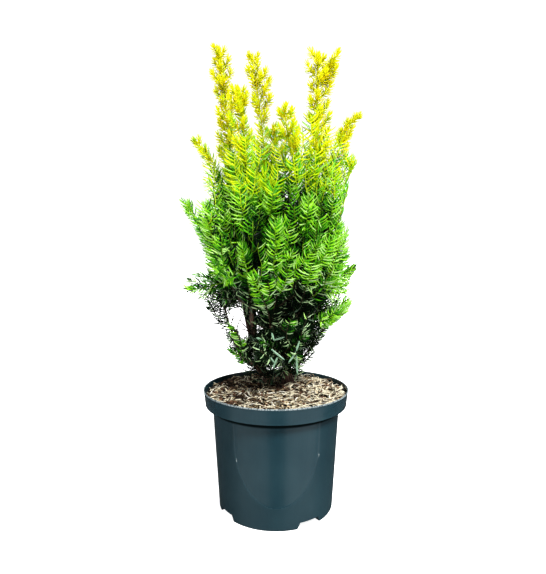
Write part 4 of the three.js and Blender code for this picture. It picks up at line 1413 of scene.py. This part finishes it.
# Angle between needle and stem, by the distance from the tip.
NEEDLE_ANGLE = ([0, 8, 30, 130, 260, 400], [28, 52, 68, 72, 78, 88])
TUFT_ANGLE = ([0, 3, 9, 22], [28, 56, 74, 84])
NEEDLE_EVERY = {
    "leader": 0.55, "shoot": 0.92, "tuft": 0.36, "twig": 1.04, "fine": 1.1, "inner": 0.95, "limb": 1.1,
    "comb": 2.5,
}
FRONT = np.array([0.0, -1.0, 0.0])
COMB = {"angles": (84.0, 98.0), "sizes": (1.15, 0.8)}  # the edge's old comb: outer and inner needles
LAYERS = (0.38, -0.75)  # a flat spray has two layers of needles; how far each one turns up, in radians
NEEDLE_STATIONS = np.array([0.07, 0.48, 0.82])
NEEDLE_FULLNESS = np.array([0.75, 1.0, 0.72])
TURNED_OVER = 0.15  # share of the inner needles that show their pale undersides
RING = 3  # points round a needle: left edge, ridge, right edge
SHORTEST = 5.0
NEEDLES_IN_PIECE = 9000
THINNER_LOW = ([160, 200], [0.55, 1.0])  # share of the needles that the oldest wood keeps, by height
FINER_LOW = ([215, 290, 350], [0.74, 0.86, 1.0])  # size of the needles against the rest, by height
TUFT_CROWDING = 0.85  # a tuft's needles crowd to its tip where this is below 1
# Each tone, from the darkest inside to the palest at the top: the colour of the needles' upper sides, their
# gloss, how far their lower sides lean to UNDERSIDE, the tone that their outer halves lean to as a painted
# highlight, and how far.
TONES = {
    "shade": ((0.0040, 0.013, 0.0045), 0.06, 0.4, "shade", 0),
    "dark": ((0.006, 0.042, 0.005), 0.08, 0.4, "deep", 0.7),
    "deep": ((0.018, 0.115, 0.006), 0.12, 0.3, "leaf", 0.8),
    "leaf": ((0.054, 0.27, 0.006), 0.18, 0.2, "fresh", 0.9),
    "fresh": ((0.140, 0.48, 0.012), 0.20, 0.1, "lime", 0.9),
    "lime": ((0.29, 0.65, 0.018), 0.20, 0.1, "glint", 0.4),
    "yellow_lime": ((0.50, 0.72, 0.010), 0.15, 0.2, "gold", 0.6),
    "gold": ((0.72, 0.80, 0.006), 0.12, 0.35, "bright_gold", 0.75),
    "bright_gold": ((0.83, 0.83, 0.014), 0.12, 0.35, "bright_gold", 0),
    # amber and olive are painted shade among the golden needles.
    "amber": ((0.74, 0.60, 0.004), 0.1, 0.35, "amber", 0),
    "olive": ((0.33, 0.38, 0.004), 0.1, 0, "olive", 0),
    # glint is a painted highlight.
    "glint": ((0.54, 0.88, 0.25), 0.4, 0, "glint", 0),
    # pale is partly the needles' pale undersides and partly painted glints.
    "pale": ((0.44, 0.62, 0.33), 0.3, 0, "pale", 0),
    "hanging": ((0.19, 0.31, 0.21), 0.3, 0, "hanging", 0),
}
tone_names = list(TONES)
# The golden underside is a dark amber: painted shade beneath the golden needles. The green one is the
# needles' real paler underside.
UNDERSIDE = {"green": (0.30, 0.44, 0.30), "golden": (0.62, 0.44, 0.004)}
GOLDEN_FROM = 6  # the first tone with a golden underside
# Large old needles that hang turned over at the front: each one's foot and tip.
HANGING = [
    (-6, -50, 216, 11, -54, 202), (-10, -50, 210, -1, -53, 198), (24, -50, 211, 15, -55, 199),
    (25, -50, 209, 26, -53, 183), (29, -50, 226, 23, -54, 210), (-24, -46, 229, -12, -49, 225),
    (-5, -46, 235, -2, -50, 225), (-2, -47, 226, 11, -50, 230), (2, -52, 206, -4, -55, 192),
]
HANGING_WIDTH = 2.5
HANGING_FACE = (0.2, -1.0, 0.2)
HANGING_NODES = {"shoot_front_skirt", "shoot_front_skirt_right"}
HEIGHT_TONE = (
    [160, 200, 230, 250, 270, 300, 340, 385, 425, 465, 510, 545, 600],
    [0.5, 0.8, 1.2, 2.2, 3.7, 4.4, 4.9, 5.3, 5.8, 6.1, 6.4, 7.0, 7.6],
)
CROWN_RADIUS = (
    [160, 200, 250, 300, 350, 400, 450, 500, 600],
    [42, 66, 98, 112, 112, 106, 96, 86, 70],
)
AGEING = ([290, 380, 520], [3.2, 1.7, 0.3])  # darker by so many tones where a stem is old, by height
UPPER_SIDE = ([-0.6, -0.1, 0.3], [-3.2, -1.0, 0.5])  # painted light and shade: lighter, from a stem's under to its upper side
PALEST = ([330, 400, 440, 480], [5.0, 5.5, 6.5, 9.0])  # the palest tone at each height
DARKEST = ([400, 440, 480, 520], [0.0, 2.4, 4.2, 5.2])  # and the darkest
GLINTING = ([300, 430], [0.20, 0.02])  # share of the green needles given the pale glint tone, a painted highlight, by height
TONE_LENGTH = 12.0  # length of stem over which needles share one tone
# Tones by which a shoot is lighter than the rest at its height.
LIGHTER = {
    "shoot_left_skirt": 2.4, "shoot_right_low": 2.6, "shoot_right_skirt": 1.6, "shoot_right_side": 0.6,
    "shoot_left_wing": -2.6,
}
PAINTED_SUN_SIDE = ([-80, -30, 30, 90], [-0.8, -0.4, 0.0, 0.8])  # painted light: lighter by so many tones, from left to right, towards the key lamp


def needle_rows(spray, number):
    """One spray's needles: roots, directions, upper faces, lengths, widths, bends and tones."""
    random = np.random.default_rng(7000 + number)
    path = spray.path
    finer = np.interp(path.at(0.5)[2], *FINER_LOW)
    count = max(4, int(path.length * (1 - spray.bare) / (NEEDLE_EVERY[spray.kind] * finer)))
    even = (np.arange(count) + random.uniform(0.25, 0.75, count)) / count
    if spray.kind == "tuft":
        even = even**TUFT_CROWDING
    share = spray.bare + (1 - spray.bare) * even
    root, heading = path.at(share), path.heading(share)
    row, over, outward = comb_axes(root, heading)
    to_tip = (1 - share) * path.length
    main = spray.kind in ("leader", "shoot")
    old_by = np.clip(to_tip / YOUNG_TIP.get(spray.shoot, USUAL_YOUNG_TIP), 0, 1)
    in_row = random.random(count) < spray.ranked * (old_by if main else 1)
    order = np.arange(count)
    aside = np.where(order % 2, -1, 1)
    turned = np.where(order // 2 % 2, *LAYERS) + random.normal(0, 0.10, count)
    if spray.kind == "comb":
        over = unit(FRONT - heading * (heading @ FRONT)[:, None])
        row = np.cross(over, heading)
        turned = random.normal(0.1, 0.2, count)
    turn = np.where(
        in_row, np.where(aside > 0, turned, math.pi - turned),
        order * GOLDEN_TURN + random.normal(0, 0.2, count))
    out = row * np.cos(turn)[:, None] + over * np.sin(turn)[:, None]
    angle = np.interp(to_tip + spray.tip_gap, *NEEDLE_ANGLE) + random.normal(0, 3, count)
    if spray.kind == "tuft":
        angle = np.interp(to_tip, *TUFT_ANGLE) + random.normal(0, 8, count)
    if spray.kind == "comb":
        angle = np.where(aside > 0, *COMB["angles"]) + random.normal(0, 4, count)
    angle = np.radians(angle)
    way = unit(heading * np.cos(angle)[:, None] + out * np.sin(angle)[:, None])
    length = NEEDLE["length"] * spray.size * finer * random.uniform(0.90, 1.08, count)
    if spray.kind == "comb":
        length *= np.where(aside > 0, *COMB["sizes"])
    if main:
        tender = (1 - old_by**1.4) * (1 if spray.shoot in YOUNG_TIP else 0.6)
        length *= 1 - (1 - YOUNG_NEEDLE) * tender
    else:
        length *= 1 - 0.22 * np.exp(-to_tip / (14 if spray.kind in ("tuft", "fine") else 24))
    face = unit(UP * 0.5 + outward * 0.4 + over * 0.6 + random.normal(0, 0.22, (count, 3)))
    if spray.kind in OLD_WOOD:
        face *= np.where(random.random((count, 1)) < TURNED_OVER, -1, 1)
    face = unit(face - way * np.sum(face * way, 1, keepdims=True))
    bend = unit(heading - way * np.sum(heading * way, 1, keepdims=True))
    bend = bend * random.normal(0.05 if spray.kind == "comb" else 0.34, 0.06, count)[:, None]
    fuller = 0.70 + 0.30 * np.minimum(1, length / 18)
    width = NEEDLE["width"] * fuller * random.uniform(0.88, 1.1, count) * finer**0.6
    tones = tones_of(spray, share, np.sum(out * over, 1), random)
    return root, way, face, length, width, bend, tones


def fading(height, top, over):
    """0 above a height, and 1 so far below it or lower."""
    return np.clip((top - height) / over, 0, 1)


def tones_of(spray, share, facing, random):
    """Which tone each needle has: by height, by its age, and by how far out it stands and which way it faces,
    which paint the crown's shade and light.
    """
    bits = max(1, round(spray.path.length / TONE_LENGTH))
    bit = np.minimum((share * bits).astype(int), bits - 1)
    centre = (np.arange(bits) + 0.5) / bits
    middle = spray.path.at(centre)
    to_tip = spray.path.length * (1 - centre) + spray.tip_gap
    height = middle[:, 2]
    radius = np.interp(height, *CROWN_RADIUS)
    reach = np.hypot((middle[:, 0] - MIDDLE[0]) / radius, (middle[:, 1] - MIDDLE[1]) / (0.85 * radius))
    # Needles deep inside the crown are darker: painted shade.
    inside = (1 - smooth_step(0.42, 0.88, reach)) * fading(height, 440, 110)
    aged = (1 - np.exp(-to_tip / 50)) * np.interp(height, *AGEING)
    tone = np.interp(height, *HEIGHT_TONE) + 0.9 - aged - 3.2 * inside
    # The right side is lighter: painted light from the key lamp's side.
    tone += LIGHTER.get(spray.shoot, 0) + np.interp(middle[:, 0], *PAINTED_SUN_SIDE) * fading(height, 430, 60)
    # Needles on the old wood stay dark: older needles are darker, and this is also painted shade.
    if spray.kind in OLD_WOOD:
        tone = np.minimum(tone, np.clip((height - 160) / 90, 0, 1.4))
    # Needles behind a shoot's stem are darker and those in front of it lighter: painted shade and light.
    if spray.kind in ("twig", "fine"):
        shoot = shoot_paths[spray.shoot]
        over = comb_axes(middle, spray.path.heading(centre))[1]
        ahead = np.sum((middle - shoot.at(shoot.share_at(height))) * over, 1)
        tone += np.clip(ahead / 8, -3.6, 0.5) * fading(height, 490, 80)
    tone += random.normal(0, 0.3, bits) + random.normal(0, 0.75) * fading(height, 470, 70)
    high = height[bit]
    tone = tone[bit] + random.normal(0, 1, len(share)) * np.interp(high, [380, 480], [0.55, 0.45])
    # Needles on a stem's under side are darker and on its upper side lighter: painted shade and light.
    tone += np.interp(facing, *UPPER_SIDE) * np.maximum(fading(high, 560, 140), 0.25)
    tone = np.minimum(tone, np.interp(high, *PALEST))
    tone = np.maximum(tone, np.interp(high, *DARKEST))
    chosen = np.clip(np.round(tone), 0, 8).astype(int)
    chance = random.random(len(share))
    # Golden needles facing away from a stem's upper side, or at a tuft's base, turn amber or olive: painted
    # shade.
    shaded_part = np.clip(0.35 - facing, 0, 1) * 0.6
    if spray.kind == "tuft":
        shaded_part = np.clip(1.3 - 1.6 * share, 0, 1)
    chosen[(chosen >= 6) & (high > 440) & (chance < 0.5 * shaded_part)] = tone_names.index("amber")
    chosen[(chosen >= 5) & (high > 440) & (chance > 1 - 0.4 * shaded_part)] = tone_names.index("olive")
    # Some lit green needles take the pale glint tone: a painted highlight.
    lit = (chosen >= 2) & (chosen < 6) & (facing > -0.2)
    chosen[lit & (chance < np.interp(high, *GLINTING))] = tone_names.index("glint")
    # Some low dark needles take the pale tone: partly pale undersides, partly painted glints.
    chosen[(high < 310) & (chosen < 4) & (chance > 0.87)] = tone_names.index("pale")
    return chosen


def trimmed(spray, root, way, length):
    """Shortens or drops the needles that would stand in a neighbour's space, a limb or a clearing."""
    for _ in range(3):
        length[past_reach(root + way * length[:, None])] *= 0.75
    tip = root + way * length[:, None]
    crowd, gap = crowding(tip, spray.shoot)
    keep = (gap > 0.6) & ~past_reach(tip)
    if spray.shoot in SHOOTS:
        keep &= crowd < SPACE_OVERLAP
    keep &= ~inside_rounds(root + way * length[:, None] * 0.7) & ~inside_rounds(tip)
    if spray.kind in ("twig", "fine"):
        keep &= ~in_hollow(tip)
    keep &= tip[:, 2] > mix_level(tip[:, 0], tip[:, 1]) + 1
    keep &= np.random.default_rng(len(root)).random(len(root)) < np.interp(root[:, 2], *THINNER_LOW)
    return length, keep & (length > SHORTEST)


def needle_faces():
    """One needle's faces: the upper ones of its inner half and of its outer half, which is painted lighter,
    and the lower ones.
    """
    inner_half, painted_lit_half, lower = [], [], []
    last = 1 + RING * len(NEEDLE_STATIONS)
    for j in range(RING):
        k = (j + 1) % RING
        beneath = j == RING - 1
        (lower if beneath else inner_half).append((0, 1 + k, 1 + j))
        for i in range(len(NEEDLE_STATIONS) - 1):
            a, b = 1 + RING * i + j, 1 + RING * i + k
            (lower if beneath else painted_lit_half if i else inner_half).append((a, b, b + RING, a + RING))
        (lower if beneath else painted_lit_half).append((last - RING + j, last - RING + k, last))
    return inner_half, painted_lit_half, lower


def needle_points(root, way, face, length, width, bend):
    """The points of many needles, as an array of needle by point."""
    side = np.cross(way, face)
    rings = len(NEEDLE_STATIONS)
    s = np.r_[0.0, np.repeat(NEEDLE_STATIONS, RING), 1.0]
    full = np.r_[0.0, np.repeat(NEEDLE_FULLNESS, RING), 0.0]
    edge = np.r_[0.0, np.tile([-1, 0, 1], rings), 0.0]
    ridge = np.r_[0.0, np.tile([0, 1, 0], rings), 0.0]
    root, way, face, side, bend = (a[:, None] for a in (root, way, face, side, bend))
    length, width = length[:, None, None], width[:, None, None]
    s, full, edge, ridge = (a[None, :, None] for a in (s, full, edge, ridge))
    return (
        root + way * length * s + bend * length * s**2
        + side * (width / 2 * full * edge) + face * (NEEDLE["thick"] * full * ridge)
    )


def needle_material(name, colour, roughness, gloss):
    """Plain in colour; waxy, with a fine grain along it."""
    material, tree = new_material(name)
    wax = grain_mask(tree, 900, detail=2)
    return dress(material, wax, 0.00012, 0.5, {
        "Base Color": colour,
        "Specular IOR Level": gloss,
        "Roughness": between(tree, wax, roughness - 0.08, roughness + 0.1),
    })


def leaning(colour, other, share):
    return tuple(c + (o - c) * share for c, o in zip(colour, other))


def tone_materials(name):
    """The three of one tone: its needles' inner halves, their outer halves with a painted highlight, and
    their undersides.
    """
    colour, gloss, pale, painted_lit_half, lean = TONES[name]
    under = UNDERSIDE["golden" if name in tone_names[GOLDEN_FROM:] else "green"]
    return [
        needle_material("needle_" + name, colour, 0.34, gloss),
        needle_material("needle_tip_" + name, leaning(colour, TONES[painted_lit_half][0], lean), 0.34, gloss),
        needle_material("needle_under_" + name, leaning(colour, under, pale), 0.55, gloss),
    ]


def join_needles(title, points, materials, carriers):
    """All the needles of one piece in one mesh."""
    faces, slots = [], []
    for slot, group in enumerate(needle_faces()):
        for size in (3, 4):
            pattern = [face for face in group if len(face) == size]
            faces.append(copies_of(pattern, len(points), points.shape[1]))
            slots += [slot] * len(faces[-1])
    piece = put_together(title, points.reshape(-1, 3), faces, smooth=False)
    for material in materials:
        piece.data.materials.append(material)
    piece.data.polygons.foreach_set("material_index", slots)
    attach(piece, "root")
    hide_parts(*carriers)


def hanging_needles():
    foot, tip = np.split(np.array(HANGING, float), 2, axis=1)
    way = unit(tip - foot)
    face = unit(HANGING_FACE - way * (way @ HANGING_FACE)[:, None])
    width, bend = np.full(len(foot), HANGING_WIDTH), UP * 0.04 * np.ones((len(foot), 1))
    return [foot, way, face, np.linalg.norm(tip - foot, axis=1), width, bend]


def plant_needles():
    kept = {name: [] for name in tone_names}
    nodes = {name: set() for name in tone_names}
    for number, spray in enumerate(sprays):
        if spray.size:
            root, way, face, length, width, bend, tone = needle_rows(spray, number)
            length, keep = trimmed(spray, root, way, length)
            for index in np.unique(tone[keep]):
                name = tone_names[index]
                chosen = keep & (tone == index)
                kept[name].append([a[chosen] for a in (root, way, face, length, width, bend)])
                nodes[name] |= {spray.shoot} & SHOOTS.keys()
    kept["hanging"].append(hanging_needles())
    nodes["hanging"] |= HANGING_NODES
    for name, parts in kept.items():
        points = needle_points(*(np.concatenate(part) for part in zip(*parts)))
        materials = tone_materials(name)
        pieces = np.array_split(points, math.ceil(len(points) / NEEDLES_IN_PIECE))
        for number, share in enumerate(pieces):
            title = f"needles_{name}_{number + 1}" if len(pieces) > 1 else "needles_" + name
            join_needles(title, share, materials, sorted(nodes[name]))


plant_needles()


# ---- Boxes ----
# The box of the solids and the box of the finished plant.

def corners_of(box):
    return [[round(value, 6) for value in corner] for corner in box]


{"cad": corners_of((cad_low, cad_high)), "scene": corners_of(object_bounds())}
